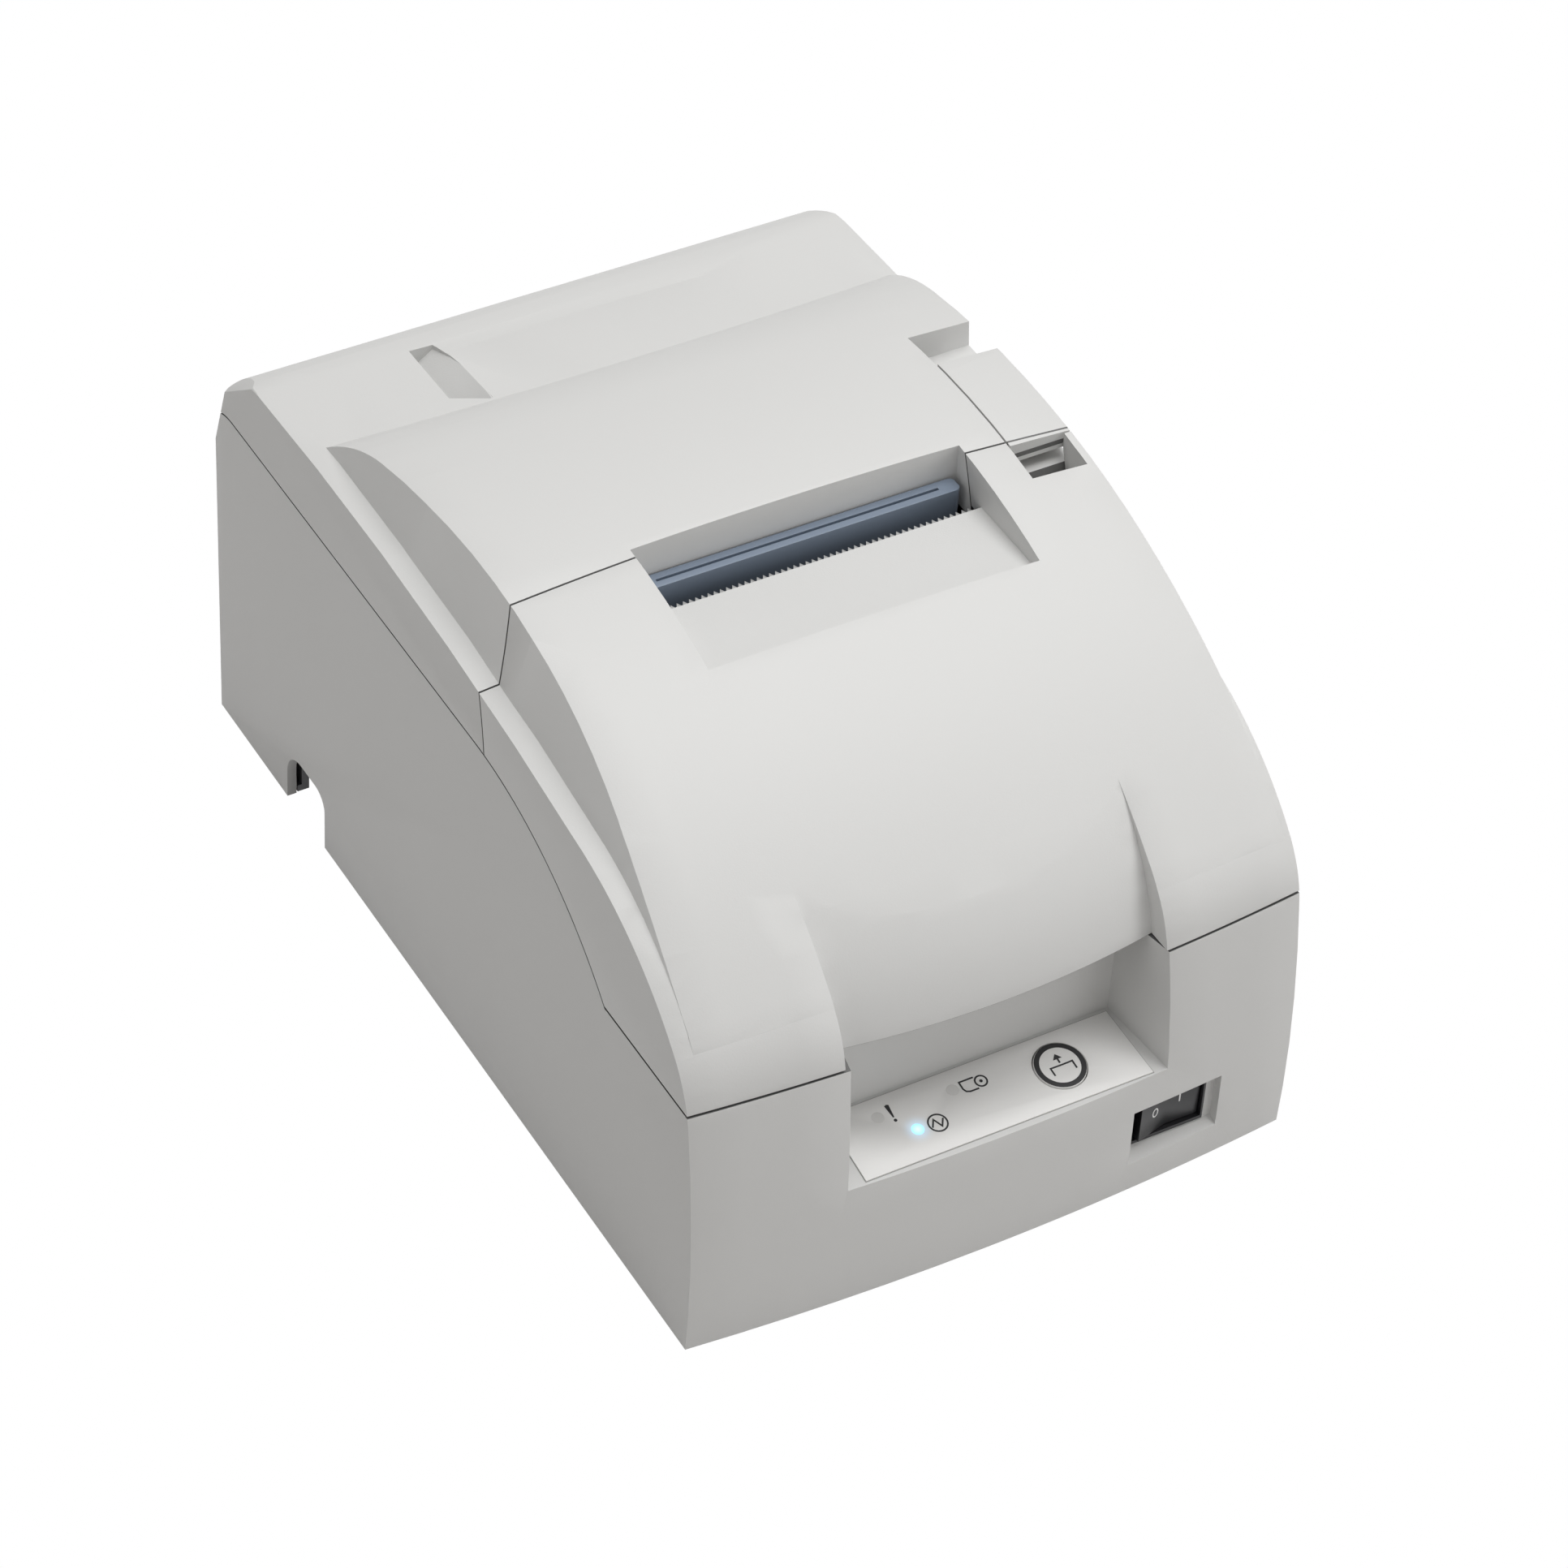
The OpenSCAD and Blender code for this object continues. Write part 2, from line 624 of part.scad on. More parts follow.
module body_shell() {
    color("gainsboro") {
        difference() {
            intersection() {
                union() {
                    difference() {
                        rail_solid(0);
                        rail_solid(wall);
                    }
                    intersection() {
                        rail_solid(0);
                        union() {
                            intersection() {
                                recess_space(wall);
                                box([-60, front_y - 5, 20], [60, panel_back + 10, front_seam_z]);
                            }
                            box([switch_x - 15, front_y - 5, switch_z - 15],
                                [switch_x + 15.5, switch_face + 2, switch_z + 11.5]);
                        }
                    }
                }
                body_zone(seam_gap / 2, front_gap / 2);
            }
            recess_space(0);
            // switch recess with sloped ledges, and the opening of the switch
            across(switch_x - 12, switch_x + 13) polygon([[front_y - 5, switch_z - 12],
                [switch_face, switch_z - 7], [switch_face, switch_z + 7.5], [front_y - 5, switch_z + 9]]);
            box([switch_x - switch_w / 2 - 0.1, front_y, switch_z - switch_h / 2 - 0.1],
                [switch_x + switch_w / 2 + 0.1, switch_face + 5, switch_z + switch_h / 2 + 0.1]);
            // room for the eyes of the front cover's arms
            for (side = [-1, 1]) at_side(side)
                rod(arm_x0 - 0.5, arm_x1 + 0.5, front_axis[0], front_axis[1], eye_r + 0.5);
            // cable notch
            across(-half_w - 2, -half_w + 8) cable_notch();
            on_panel() {
                translate([button_at[0], button_at[1], -9]) cylinder(h = 12, r = button_r + 0.3);
                for (p = led_at) translate([p[0], p[1], -9]) cylinder(h = 12, r = led_r);
            }
        }
        // posts under the panel for its small board
        on_panel() for (p = board_posts) translate([p[0], p[1], -board_drop]) difference() {
            cylinder(h = board_drop - 1, r = 2.2);
            cylinder(h = 6, r = 0.9, $fn = 32);
        }
        // hinge brackets: a boss on the side wall and a rib inside of the arm
        for (side = [-1, 1]) at_side(side) {
            difference() {
                union() {
                    rod(arm_x1 + 0.5, half_w - 1.5, front_axis[0], front_axis[1], eye_r - 0.3);
                    rod(arm_x1 + 0.5, half_w - 1.5, rear_axis[0], rear_axis[1], eye_r - 0.3);
                    intersection() {
                        rail_solid(1);
                        across(arm_x0 - 3.4, arm_x0 - 0.5) {
                            translate(front_axis) circle(eye_r - 0.3);
                            translate(front_axis - [12, 9]) square([12, 12]);
                            translate(rear_axis) circle(eye_r - 0.3);
                            translate(rear_axis - [0, 14]) square([9, 18]);
                        }
                    }
                }
                rod(arm_x0 - 3, half_w - wall, front_axis[0], front_axis[1], hinge_pin_r);
                rod(arm_x0 - 3, half_w - wall, rear_axis[0], rear_axis[1], hinge_pin_r);
            }
        }
        // posts that take the screws of the base plate
        for (p = post_at) difference() {
            union() {
                translate([p[0], p[1], plate_z1]) cylinder(h = post_h - plate_z1, r = 4);
                at_side(p[0]) box([abs(p[0]), p[1] - 1.2, plate_z1], [half_w - 1.2, p[1] + 1.2, post_h]);
            }
            translate([p[0], p[1], 0]) cylinder(h = 20, r = 1.5);
        }
    }
}
module front_hinge_pins() {
    color("silver") for (side = [-1, 1]) at_side(side)
        rod(arm_x0 - 3, half_w - wall, front_axis[0], front_axis[1], hinge_pin_r);
}
module rear_hinge_pins() {
    color("silver") for (side = [-1, 1]) at_side(side)
        rod(arm_x0 - 3, half_w - wall, rear_axis[0], rear_axis[1], hinge_pin_r);
}

// The base plate closes the body from below; its bay for the sockets is open downwards
bay_lo = [-74, 50, 0];
bay_hi = [30, 96, 24];
deck_posts = [[-57, -77], [57, -77], [-57, 5], [57, 5]];
module base_plate() {
    color("gray") difference() {
        union() {
            intersection() {
                rail_solid(wall + 0.3);
                box([-half_w, front_y, plate_z0], [half_w, rear_y, plate_z1]);
            }
            box([bay_lo[0] - 2, bay_lo[1] - 2, plate_z0], bay_hi + [2, 2, 2]);
            for (p = deck_posts) translate([p[0], p[1], plate_z0])
                cylinder(h = deck_z - chassis_t - plate_z0, r = 4);
        }
        box(bay_lo, bay_hi);
        across(-half_w, bay_lo[0] + 1) cable_notch();
        for (p = post_at) translate([p[0], p[1], 0]) cylinder(h = 20, r = 1.8);
        for (p = deck_posts) translate([p[0], p[1], deck_z - 14]) cylinder(h = 20, r = 1.4);
        // cooling slots
        for (i = [0 : 9]) box([-45 + i * 10, -60, 0], [-41 + i * 10, -20, 10]);
    }
}
foot_at = [[-60, -104], [60, -104], [-58, 108], [58, 108]];
module rubber_feet() {
    color("dimgray") for (p = foot_at) translate([p[0], p[1], 0]) {
        cylinder(h = plate_z0, r = 6);
    }
}
module screw_at(p, z, len, head_r, r) {
    translate([p[0], p[1], z]) {
        difference() {
            cylinder(h = 1.6, r = head_r, $fn = 32);
            translate([0, 0, 0.9]) for (a = [0, 90]) rotate(a) box([-2, -0.35, 0], [2, 0.35, 2]);
        }
        translate([0, 0, -len]) cylinder(h = len + 0.2, r = r, $fn = 32);
    }
}
module base_screws() {
    color("silver") for (p = post_at) translate([0, 0, 2 * plate_z0]) mirror([0, 0, 1])
        screw_at(p, plate_z0, 13, 3.2, 1.5);
}
module chassis_screws() {
    color("silver") for (p = deck_posts) screw_at(p, deck_z, 12, 3, 1.4);
}

// Operation panel
module panel_label() {
    color("white") on_panel() difference() {
        linear_extrude(0.3) polygon([[-panel_left, 0], [panel_right + 1.3, 0],
            [panel_right, panel_d], [-panel_left, panel_d]]);
        translate([button_at[0], button_at[1], -1]) cylinder(h = 3, r = button_r + 0.3);
        for (p = led_at) translate([p[0], p[1], -1]) cylinder(h = 3, r = led_r);
    }
}
module feed_button() {
    color("white") on_panel() translate([button_at[0], button_at[1], 0]) {
        difference() {
            translate([0, 0, -wall - 0.6]) cylinder(h = wall + 1.2, r = button_r);
            translate([0, 0, 41.4 + 0.6]) sphere(41.7, $fn = 120);
        }
        translate([0, 0, -wall - 1.4]) cylinder(h = 0.9, r = button_r + 1.2);
        stem_z = tact_h - board_drop + button_travel + 0.1;
        translate([0, 0, stem_z]) cylinder(h = -wall - 1 - stem_z, r = 1.8);
    }
}
module tact_switch() {
    color("black") on_panel() translate([button_at[0], button_at[1], -board_drop]) {
        box([-3, -3, 0], [3, 3, 2.4]);
        cylinder(h = tact_h, r = 1.7);
    }
}
module panel_board() {
    color("darkgreen") on_panel() difference() {
        box([-38, 3.5, -board_drop - 1.6], [38, panel_d - 0.5, -board_drop]);
        for (p = board_posts) translate([p[0], p[1], -board_drop - 3]) cylinder(h = 6, r = 1.1, $fn = 32);
    }
}
module led(k) {
    on_panel() translate([led_at[k][0], led_at[k][1], -board_drop])
        cylinder(h = board_drop + 0.3, r = led_r);
}
module error_led() {
    color("red") led(0);
}
module paper_led() {
    color("red") led(1);
}
module power_led() {
    color("deepskyblue") led(2);
}

// Power switch: a rocker that tilts about an upright axis, drawn with its right side in
rocker_y = switch_face + 4.6;
module switch_housing() {
    color("black") difference() {
        union() {
            box([switch_x - switch_w / 2, switch_face - 0.6, switch_z - switch_h / 2],
                [switch_x + switch_w / 2, switch_face + 15, switch_z + switch_h / 2]);
            for (x = [-6, 0, 6]) box([switch_x + x - 2.4, switch_face + 15, switch_z - 0.4],
                [switch_x + x + 2.4, switch_face + 21, switch_z + 0.4]);
        }
        box([switch_x - switch_w / 2 + 0.6, switch_face - 2, switch_z - switch_h / 2 + 1],
            [switch_x + switch_w / 2 - 0.6, switch_face + 12.5, switch_z + switch_h / 2 - 1]);
        translate([switch_x, rocker_y, switch_z - switch_h / 2 + 0.4])
            cylinder(h = switch_h - 0.8, r = 1 + run_fit, $fn = 32);
    }
}
module power_rocker() {
    half = switch_w / 2 - 1.5;
    color("black") translate([switch_x, rocker_y, switch_z]) rotate(rocker_tilt) {
        translate([0, 0, 1.3 - switch_h / 2]) linear_extrude(switch_h - 2.6)
            polygon([[-half, -5.2], [0, -4], [half, -5.2], [half - 0.6, 3], [-half + 0.6, 3]]);
        translate([0, 0, 0.45 - switch_h / 2]) cylinder(h = switch_h - 0.9, r = 1, $fn = 32);
    }
}

// Electronics
board_z = 13;
module main_board() {
    color("darkgreen") difference() {
        box([-50, -72, board_z], [50, 44, board_z + 1.6]);
        for (x = [-46, 46], y = [-68, 40]) translate([x, y, 0]) cylinder(h = 30, r = 1.6);
    }
}
module board_standoffs() {
    color("goldenrod") for (x = [-46, 46], y = [-68, 40]) {
        translate([x, y, plate_z1]) cylinder(h = board_z - plate_z1, r = 2.8, $fn = 32);
        translate([x, y, board_z - 1]) cylinder(h = 4, r = 1.6, $fn = 32);
    }
}
module chips() {
    color("black") for (c = [[-20, -30, 20, 20], [14, -34, 14, 20], [-18, 6, 26, 9], [-8, 24, 18, 10],
            [22, 10, 12, 12]])
        translate([c[0], c[1], board_z + 1.6]) cube([c[2], c[3], 2.4]);
}
module capacitors() {
    color("slategray") for (c = [[-40, -20, 6, 20], [-40, -4, 6, 20], [-38, 14, 5, 16], [-24, -58, 4, 12]])
        translate([c[0], c[1], board_z + 1.6]) cylinder(h = c[3], r = c[2]);
}
// Sockets on the rear wall of the bay, their mouths to the front
socket_z = 15;
module interface_socket() {
    color("silver") translate([-1, bay_hi[1], socket_z]) difference() {
        union() {
            box([-27, -1.2, -6.2], [27, 0, 6.2]);
            rotate([90, 0, 0]) linear_extrude(9)
                polygon([[-20, 4.2], [20, 4.2], [18.6, -4.2], [-18.6, -4.2]]);
        }
        rotate([90, 0, 0]) translate([0, 0, 2]) linear_extrude(12) difference() {
            polygon([[-19.3, 3.6], [19.3, 3.6], [18, -3.6], [-18, -3.6]]);
            polygon([[-17.6, 1.8], [17.6, 1.8], [17, -1.8], [-17, -1.8]]);
        }
        for (x = [-23.5, 23.5]) translate([x, 1, 0]) rotate([90, 0, 0]) cylinder(h = 6, r = 1.5, $fn = 32);
    }
}
module power_socket() {
    color("black") translate([-41, bay_hi[1], socket_z]) difference() {
        box([-7, -13, -7], [7, 0, 7]);
        rotate([90, 0, 0]) translate([0, 0, 3]) difference() {
            cylinder(h = 12, r = 5.6);
            cylinder(h = 8, r = 3.6);
        }
    }
}
module drawer_socket() {
    color("black") translate([-61, bay_hi[1], socket_z]) difference() {
        box([-7.5, -14, -7], [7.5, 0, 7]);
        box([-5, -16, -4], [5, -3, 3]);
        box([-2, -16, -5.6], [2, -3, -3]);
    }
}

// The chassis: side plates joined by a deck, the striker of the cover's catch outside
plate_x = chassis_half_w;
plate_out = chassis_half_w + chassis_t;
shaft_at = [-40, 76];
feed_at = [paper_y + 0.15 + feed_r, feed_z];
pinch_at = [paper_y - 0.15 - pinch_r, feed_z];
bush_r = roller_shaft_r + 2.2;
pinch_shaft_r = 1.5;
middle_dir = 239;
middle_at = feed_at + gear_m * (feed_teeth + middle_teeth) / 2 * [cos(middle_dir), sin(middle_dir)];
motor_at = middle_at - [0, gear_m * (middle_teeth + pinion_teeth) / 2];
motor_r = 15.6;
belt_z = 61;
belt_w = 5;
belt_y = -58;
belt_r = 6;
belt_x = [paper_x - carriage_travel - 18, paper_x + carriage_travel + 16];
rail_at = [-70, 78];
module chassis() {
    color("silver") {
        difference() {
            box([-plate_out, -82, deck_z - chassis_t], [plate_out, 11, deck_z]);
            translate([belt_x[0], belt_y, 0]) cylinder(h = 100, r = 6);
            for (p = deck_posts) translate([p[0], p[1], 0]) cylinder(h = 100, r = 1.8);
            for (x = [-20, 20], y = [-36, -22]) box([x - 12, y, 0], [x + 12, y + 6, 100]);
        }
        for (x = [-plate_out, plate_x]) difference() {
            across(x, x + chassis_t) polygon([[-82, deck_z - chassis_t], [-82, 82], [-56, 86],
                [-34, 109], [2, 109], [11, 96], [11, deck_z - chassis_t],
                [2, x > 0 ? motor_at[1] - 18 : 50], [-36, x > 0 ? motor_at[1] - 18 : 50],
                [-40, deck_z - chassis_t]]);
            rod(x - 1, x + 3, shaft_at[0], shaft_at[1], carriage_shaft_r);
            rod(x - 1, x + 3, feed_at[0], feed_at[1], bush_r);
            rod(x - 1, x + 3, pinch_at[0], pinch_at[1], pinch_shaft_r + 1.5);
            if (x > 0) rod(x - 1, x + 3, motor_at[0], motor_at[1], 5);
            rod(x - 1, x + 3, -64, 72, 5);
        }
        // striker of the catch, on a post of the right plate
        rod(plate_x, leg_x + 3, striker_at[0], striker_at[1], 1.8);
        difference() {
            across(plate_x, plate_out) polygon([[0, 90], [striker_at[0] + 3, 98],
                [striker_at[0] + 3, striker_at[1] + 3], [striker_at[0] - 3, striker_at[1] + 3], [0, 104]]);
            rod(plate_x - 1, plate_out + 1, feed_at[0], feed_at[1], bush_r);
        }
    }
}
module carriage_shaft() {
    color("silver") rod(-plate_out - 1, plate_out + 1, shaft_at[0], shaft_at[1], carriage_shaft_r);
}
module guide_rail() {
    color("silver") {
        box([-plate_x, rail_at[0] - 3, rail_at[1] - 1.5], [plate_x, rail_at[0] + 3, rail_at[1]]);
        box([-plate_x, rail_at[0] - 4.5, rail_at[1] - 8], [plate_x, rail_at[0] - 3, rail_at[1]]);
    }
}
module carriage() {
    color("dimgray") difference() {
        union() {
            box([paper_x - 12, -48, 69], [paper_x + 12, -30, 90]);
            box([paper_x - 6, -75, rail_at[1] + 0.3], [paper_x + 6, -47, rail_at[1] + 2.8]);
            // grip on the rear run of the belt
            box([paper_x - 7, belt_y + belt_r - 2.5, belt_z - 1], [paper_x + 7, belt_y + belt_r + 6, 72]);
        }
        rod(paper_x - 20, paper_x + 20, shaft_at[0], shaft_at[1], carriage_shaft_r + run_fit);
        translate([paper_x, -60, print_z]) rotate([-90, 0, 0]) cylinder(h = 50, r = head_r);
        box([paper_x - 9, belt_y + belt_r - 0.4, belt_z - 2], [paper_x + 9, belt_y + belt_r + 1.6, belt_z + 5.5]);
    }
}
module print_head() {
    nose_y = paper_y - 1.4;
    color("dimgray") translate([paper_x, 0, print_z]) {
        difference() {
            translate([0, -45, 0]) rotate([-90, 0, 0]) cylinder(h = 22, r = head_r);
            for (k = [0 : 4]) translate([0, -43 + k * 2.6, 0]) rotate([-90, 0, 0]) difference() {
                cylinder(h = 1.2, r = head_r + 1);
                cylinder(h = 1.2, r = head_r - 1.2);
                box([-20, -1, -1], [20, 20, 3]);
            }
        }
        box([-4.5, -23, -7], [4.5, -18, 7]);
        box([-2.5, -18, -5], [2.5, nose_y, 5]);
    }
}
module belt_line(r) {
    for (x = belt_x) translate([x, belt_y]) circle(r);
    translate([belt_x[0], belt_y - r]) square([belt_x[1] - belt_x[0], 2 * r]);
}
module timing_belt() {
    color("black") translate([0, 0, belt_z]) linear_extrude(belt_w - 0.5) difference() {
        belt_line(belt_r + 1);
        belt_line(belt_r);
    }
}
// A pulley with teeth, its flanges over and under the belt
module pulley() {
    translate([0, 0, belt_z - 1.2]) cylinder(h = 0.9, r = belt_r + 1.6);
    translate([0, 0, belt_z + belt_w - 0.2]) cylinder(h = 0.9, r = belt_r + 1.6);
    translate([0, 0, belt_z - 0.4]) linear_extrude(belt_w + 0.4) difference() {
        circle(belt_r - 0.3);
        for (k = [0 : 15]) rotate(k * 22.5) translate([belt_r, 0]) circle(0.7, $fn = 24);
    }
}
module drive_pulley() {
    color("dimgray") translate([belt_x[0], belt_y, 0]) {
        pulley();
        translate([0, 0, deck_z - 8]) cylinder(h = belt_z - deck_z + 8, r = 1.5, $fn = 32);
    }
}
module idler_pulley() {
    color("dimgray") translate([belt_x[1], belt_y, 0]) difference() {
        pulley();
        cylinder(h = 100, r = 2 + run_fit);
    }
}
module idler_post() {
    color("silver") translate([belt_x[1], belt_y, deck_z]) {
        cylinder(h = belt_z - deck_z - 1.5, r = 4);
        cylinder(h = belt_z - deck_z + belt_w + 3, r = 2);
    }
}
module carriage_motor() {
    color("gray") translate([belt_x[0], belt_y, 0]) difference() {
        union() {
            translate([0, 0, deck_z - chassis_t - 22]) cylinder(h = 20.5, r = motor_r);
            translate([0, 0, deck_z - chassis_t - 1.5]) cylinder(h = 1.5, r = motor_r - 0.6);
            translate([0, 0, deck_z - chassis_t - 0.5]) cylinder(h = 1.5, r = 5);
        }
        translate([0, 0, deck_z - 9]) cylinder(h = 20, r = 1.5 + run_fit, $fn = 32);
    }
}
module feed_motor() {
    color("gray") difference() {
        union() {
            rod(plate_x - 22, plate_x - 1.2, motor_at[0], motor_at[1], motor_r);
            rod(plate_x - 1.4, plate_x, motor_at[0], motor_at[1], motor_r - 0.6);
            rod(plate_x - 0.5, plate_out + 0.1, motor_at[0], motor_at[1], 4.6);
        }
        rod(plate_x - 8, plate_x + 10, motor_at[0], motor_at[1], 1.5 + run_fit);
    }
}

// Rollers, gears and platen
module platen() {
    color("silver") {
        difference() {
            box([-plate_x, paper_y + 4, 90], [plate_x, paper_y + 5.5, 99.5]);
            for (x = [-50, 56]) translate([x, paper_y, 95]) rotate([-90, 0, 0]) cylinder(h = 20, r = 1.6);
        }
        box([paper_x - platen_w / 2, paper_y + 0.2, print_z - 6], [paper_x + platen_w / 2, paper_y + 4,
            print_z + 4.5]);
    }
}
module feed_roller() {
    color("dimgray") {
        rod(paper_x - 40, paper_x + 40, feed_at[0], feed_at[1], feed_r);
        rod(-plate_out - 1.5, plate_out + 2 + gear_w, feed_at[0], feed_at[1], roller_shaft_r);
    }
}
module pinch_roller() {
    color("dimgray") for (x = [-24, 20]) difference() {
        rod(x, x + 16, pinch_at[0], pinch_at[1], pinch_r);
        rod(x - 1, x + 17, pinch_at[0], pinch_at[1], pinch_shaft_r);
    }
}
module pinch_shaft() {
    color("silver") rod(-plate_out - 1.5, plate_out + 0.8, pinch_at[0], pinch_at[1], pinch_shaft_r);
}
module roller_bushes() {
    color("ivory") for (x = [-plate_out - 0.6, plate_x - 0.6]) {
        difference() {
            rod(x, x + chassis_t + 1.2, feed_at[0], feed_at[1], bush_r);
            rod(x - 1, x + 5, feed_at[0], feed_at[1], roller_shaft_r + run_fit);
        }
        difference() {
            rod(x, x + chassis_t + 1.2, pinch_at[0], pinch_at[1], pinch_shaft_r + 1.5);
            rod(x - 1, x + 5, pinch_at[0], pinch_at[1], pinch_shaft_r + run_fit);
        }
    }
}
gear_x = plate_out + 1.2;
// Turn of gear B so that it meshes with gear A, seen from A in the direction phi
function mesh_turn(phi, turn_a, na, nb) = phi + 180 - 360 / nb * (0.5 - (phi - turn_a) * na / 360);
module gear(n, bore) {
    r = gear_m * n / 2;
    root = r - 1.15 * gear_m;
    tip = r + 0.85 * gear_m;
    pitch = 360 / n;
    difference() {
        polygon([for (k = [0 : n - 1], c = [[-0.33, root], [-0.21, r], [-0.09, tip], [0.09, tip],
            [0.21, r], [0.33, root]])
            c[1] * [cos((k + c[0]) * pitch), sin((k + c[0]) * pitch)]]);
        circle(bore, $fn = 48);
    }
}
module gear_on_plate(at, turn, n, bore) {
    translate([gear_x, at[0], at[1]]) rotate([90, 0, 90]) difference() {
        linear_extrude(gear_w) rotate(turn) gear(n, bore);
        if (n > 20) translate([0, 0, gear_w - 1]) linear_extrude(2) difference() {
            circle(gear_m * n / 2 - 2.2);
            circle(bore + 2);
        }
    }
}
middle_turn = mesh_turn(middle_dir, 0, feed_teeth, middle_teeth);
module feed_gear() {
    color("ivory") gear_on_plate(feed_at, 0, feed_teeth, roller_shaft_r);
}
module middle_gear() {
    color("ivory") gear_on_plate(middle_at, middle_turn, middle_teeth, 2 + run_fit);
}
module gear_stud() {
    color("silver") {
        rod(plate_out, gear_x - 0.3, middle_at[0], middle_at[1], 3.4);
        rod(plate_out, gear_x + gear_w + 0.6, middle_at[0], middle_at[1], 2);
    }
}
module motor_pinion() {
    color("goldenrod") {
        gear_on_plate(motor_at, mesh_turn(270, middle_turn, middle_teeth, pinion_teeth), pinion_teeth, 1.5);
        rod(plate_x - 7, gear_x + gear_w, motor_at[0], motor_at[1], 1.5);
    }
}

// Ribbon: a flat cassette whose two arms hold the band before the platen
arm_tip_y = paper_y - 0.9;
arm_in = [paper_x - carriage_travel - head_r - 10.5, paper_x + carriage_travel + head_r + 4];
module ribbon_cassette() {
    color("dimgray") difference() {
        union() {
            linear_extrude(100) polygon([[-60, -82], [-56, -86], [58, -86], [62, -82],
                [62.5, arm_tip_y], [arm_in[1], arm_tip_y], [arm_in[1] + 1, -49], [arm_in[0] + 3, -49],
                [arm_in[0], arm_tip_y], [-60, arm_tip_y]]);
        }
        box([-70, -90, -1], [70, 0, 88]);
        // finger ledges on the sides of the lid
        for (x = [-61, 59]) box([x, -76, 97], [x + 4, -60, 101]);
        translate([-20, -67, 98.8]) cylinder(h = 3, r = 14);
        translate([26, -67, 98.8]) cylinder(h = 3, r = 14);
        translate([-50, -66, 80]) cylinder(h = 30, r = 2 + run_fit);
        box([-52, arm_tip_y - 4, 89], [-46, arm_tip_y + 1, 99]);
        box([52, arm_tip_y - 4, 89], [58, arm_tip_y + 1, 99]);
    }
}
module ribbon_band() {
    color("black") box([-46 - 6, arm_tip_y - 0.2, 89.5], [58, arm_tip_y, 98.5]);
}
module ribbon_knob() {
    color("dimgray") translate([-50, -66, 0]) {
        translate([0, 0, 100.4]) linear_extrude(4.5) difference() {
            circle(6.5);
            for (k = [0 : 11]) rotate(k * 30) translate([6.9, 0]) circle(1, $fn = 24);
        }
        translate([0, 0, 90]) cylinder(h = 11, r = 2);
    }
}

// Paper path
module tear_bar() {
    teeth = floor((slot_x1 - slot_x0 - 3) / tooth_pitch);
    x0 = (slot_x0 + slot_x1 - teeth * tooth_pitch) / 2;
    color("silver") translate([0, 0, tear_z - 1.9]) linear_extrude(1.1) polygon(concat(
        [[x0, slot_y0 - 8.8]], [for (k = [0 : teeth - 1], c = [[0.05, -0.3], [0.5, 1.1], [0.95, -0.3]])
            [x0 + (k + c[0]) * tooth_pitch, slot_y0 + c[1]]],
        [[x0 + teeth * tooth_pitch, slot_y0 - 8.8]]));
}
guide_y0 = paper_y + 1.4;
module paper_guide() {
    x0 = slot_x0 + 2;
    x1 = slot_x1 - 1.5;
    color("slategray") difference() {
        union() {
            translate([0, 0, 99.5]) linear_extrude(guide_z - 99.5) {
                translate([x0 + 1.5, guide_y0]) square([x1 - x0 - 3, guide_t]);
                translate([x0, guide_y0 + 1.5]) square([x1 - x0, guide_t - 3]);
                for (x = [x0 + 1.5, x1 - 1.5], y = [1.5, guide_t - 1.5])
                    translate([x, guide_y0 + y]) circle(1.5, $fn = 32);
            }
            // cheeks that screw to the side plates
            for (x = [-plate_x, x1 - 1]) box([x, guide_y0 + 0.5, 99.5], [x < 0 ? x0 + 1 : plate_x,
                guide_y0 + 3, 108]);
        }
        box([x0 + 3.5, guide_y0 + 1.9, guide_z - 1.2], [x1 - 5, guide_y0 + 2.7, guide_z + 1]);
    }
}
tray_x = [paper_x - 42.5, paper_x + 42.5];
tray_t = 1.8;
lever_axis = [roll_y + 24, roll_z - 22];
module roll_tray() {
    color("gray") difference() {
        union() {
            across(tray_x[0] - tray_t, tray_x[1] + tray_t) {
                translate([roll_y, roll_z]) sector(roll_r + 0.9, roll_r + 0.9 + tray_t, 178, 362);
            }
            for (x = [tray_x[0] - tray_t, tray_x[1]]) {
                low = x < 0 ? bay_hi[2] + 2 : plate_z1;
                across(x, x + tray_t) intersection() {
                    translate([roll_y, roll_z]) circle(roll_r + 0.9 + tray_t, $fn = 120);
                    translate([0, 0]) square([200, roll_z + 4]);
                }
                across(x, x + tray_t) polygon([[roll_y - 9, low], [roll_y + 24, low],
                    [roll_y + 34, roll_z - 20], [roll_y - 34, roll_z - 20], [roll_y - 9, low + 10]]);
            }
        }
        // dished edges for the fingers, and the window of the near-end lever
        for (x = [tray_x[0] - 5, tray_x[1] - 2]) rod(x, x + 7, roll_y, roll_z + 22, 30);
        across(tray_x[1] - 1, tray_x[1] + 5) translate(lever_axis + [-13, -1]) square([8, 10]);
    }
}
module near_end_lever() {
    color("dimgray") difference() {
        union() {
            across(tray_x[1] + tray_t + 0.4, tray_x[1] + tray_t + 2.6) {
                translate(lever_axis) circle(3);
                translate(lever_axis + [-12, -1.4]) square([12, 2.8]);
                translate(lever_axis + [-12, -1.4]) square([4, 8]);
            }
            rod(tray_x[1] - 0.8, tray_x[1] + tray_t + 1, lever_axis[0] - 9.5, lever_axis[1] + 5.2, 1.2);
        }
        rod(tray_x[1], tray_x[1] + 20, lever_axis[0], lever_axis[1], 1.2 + run_fit);
    }
}
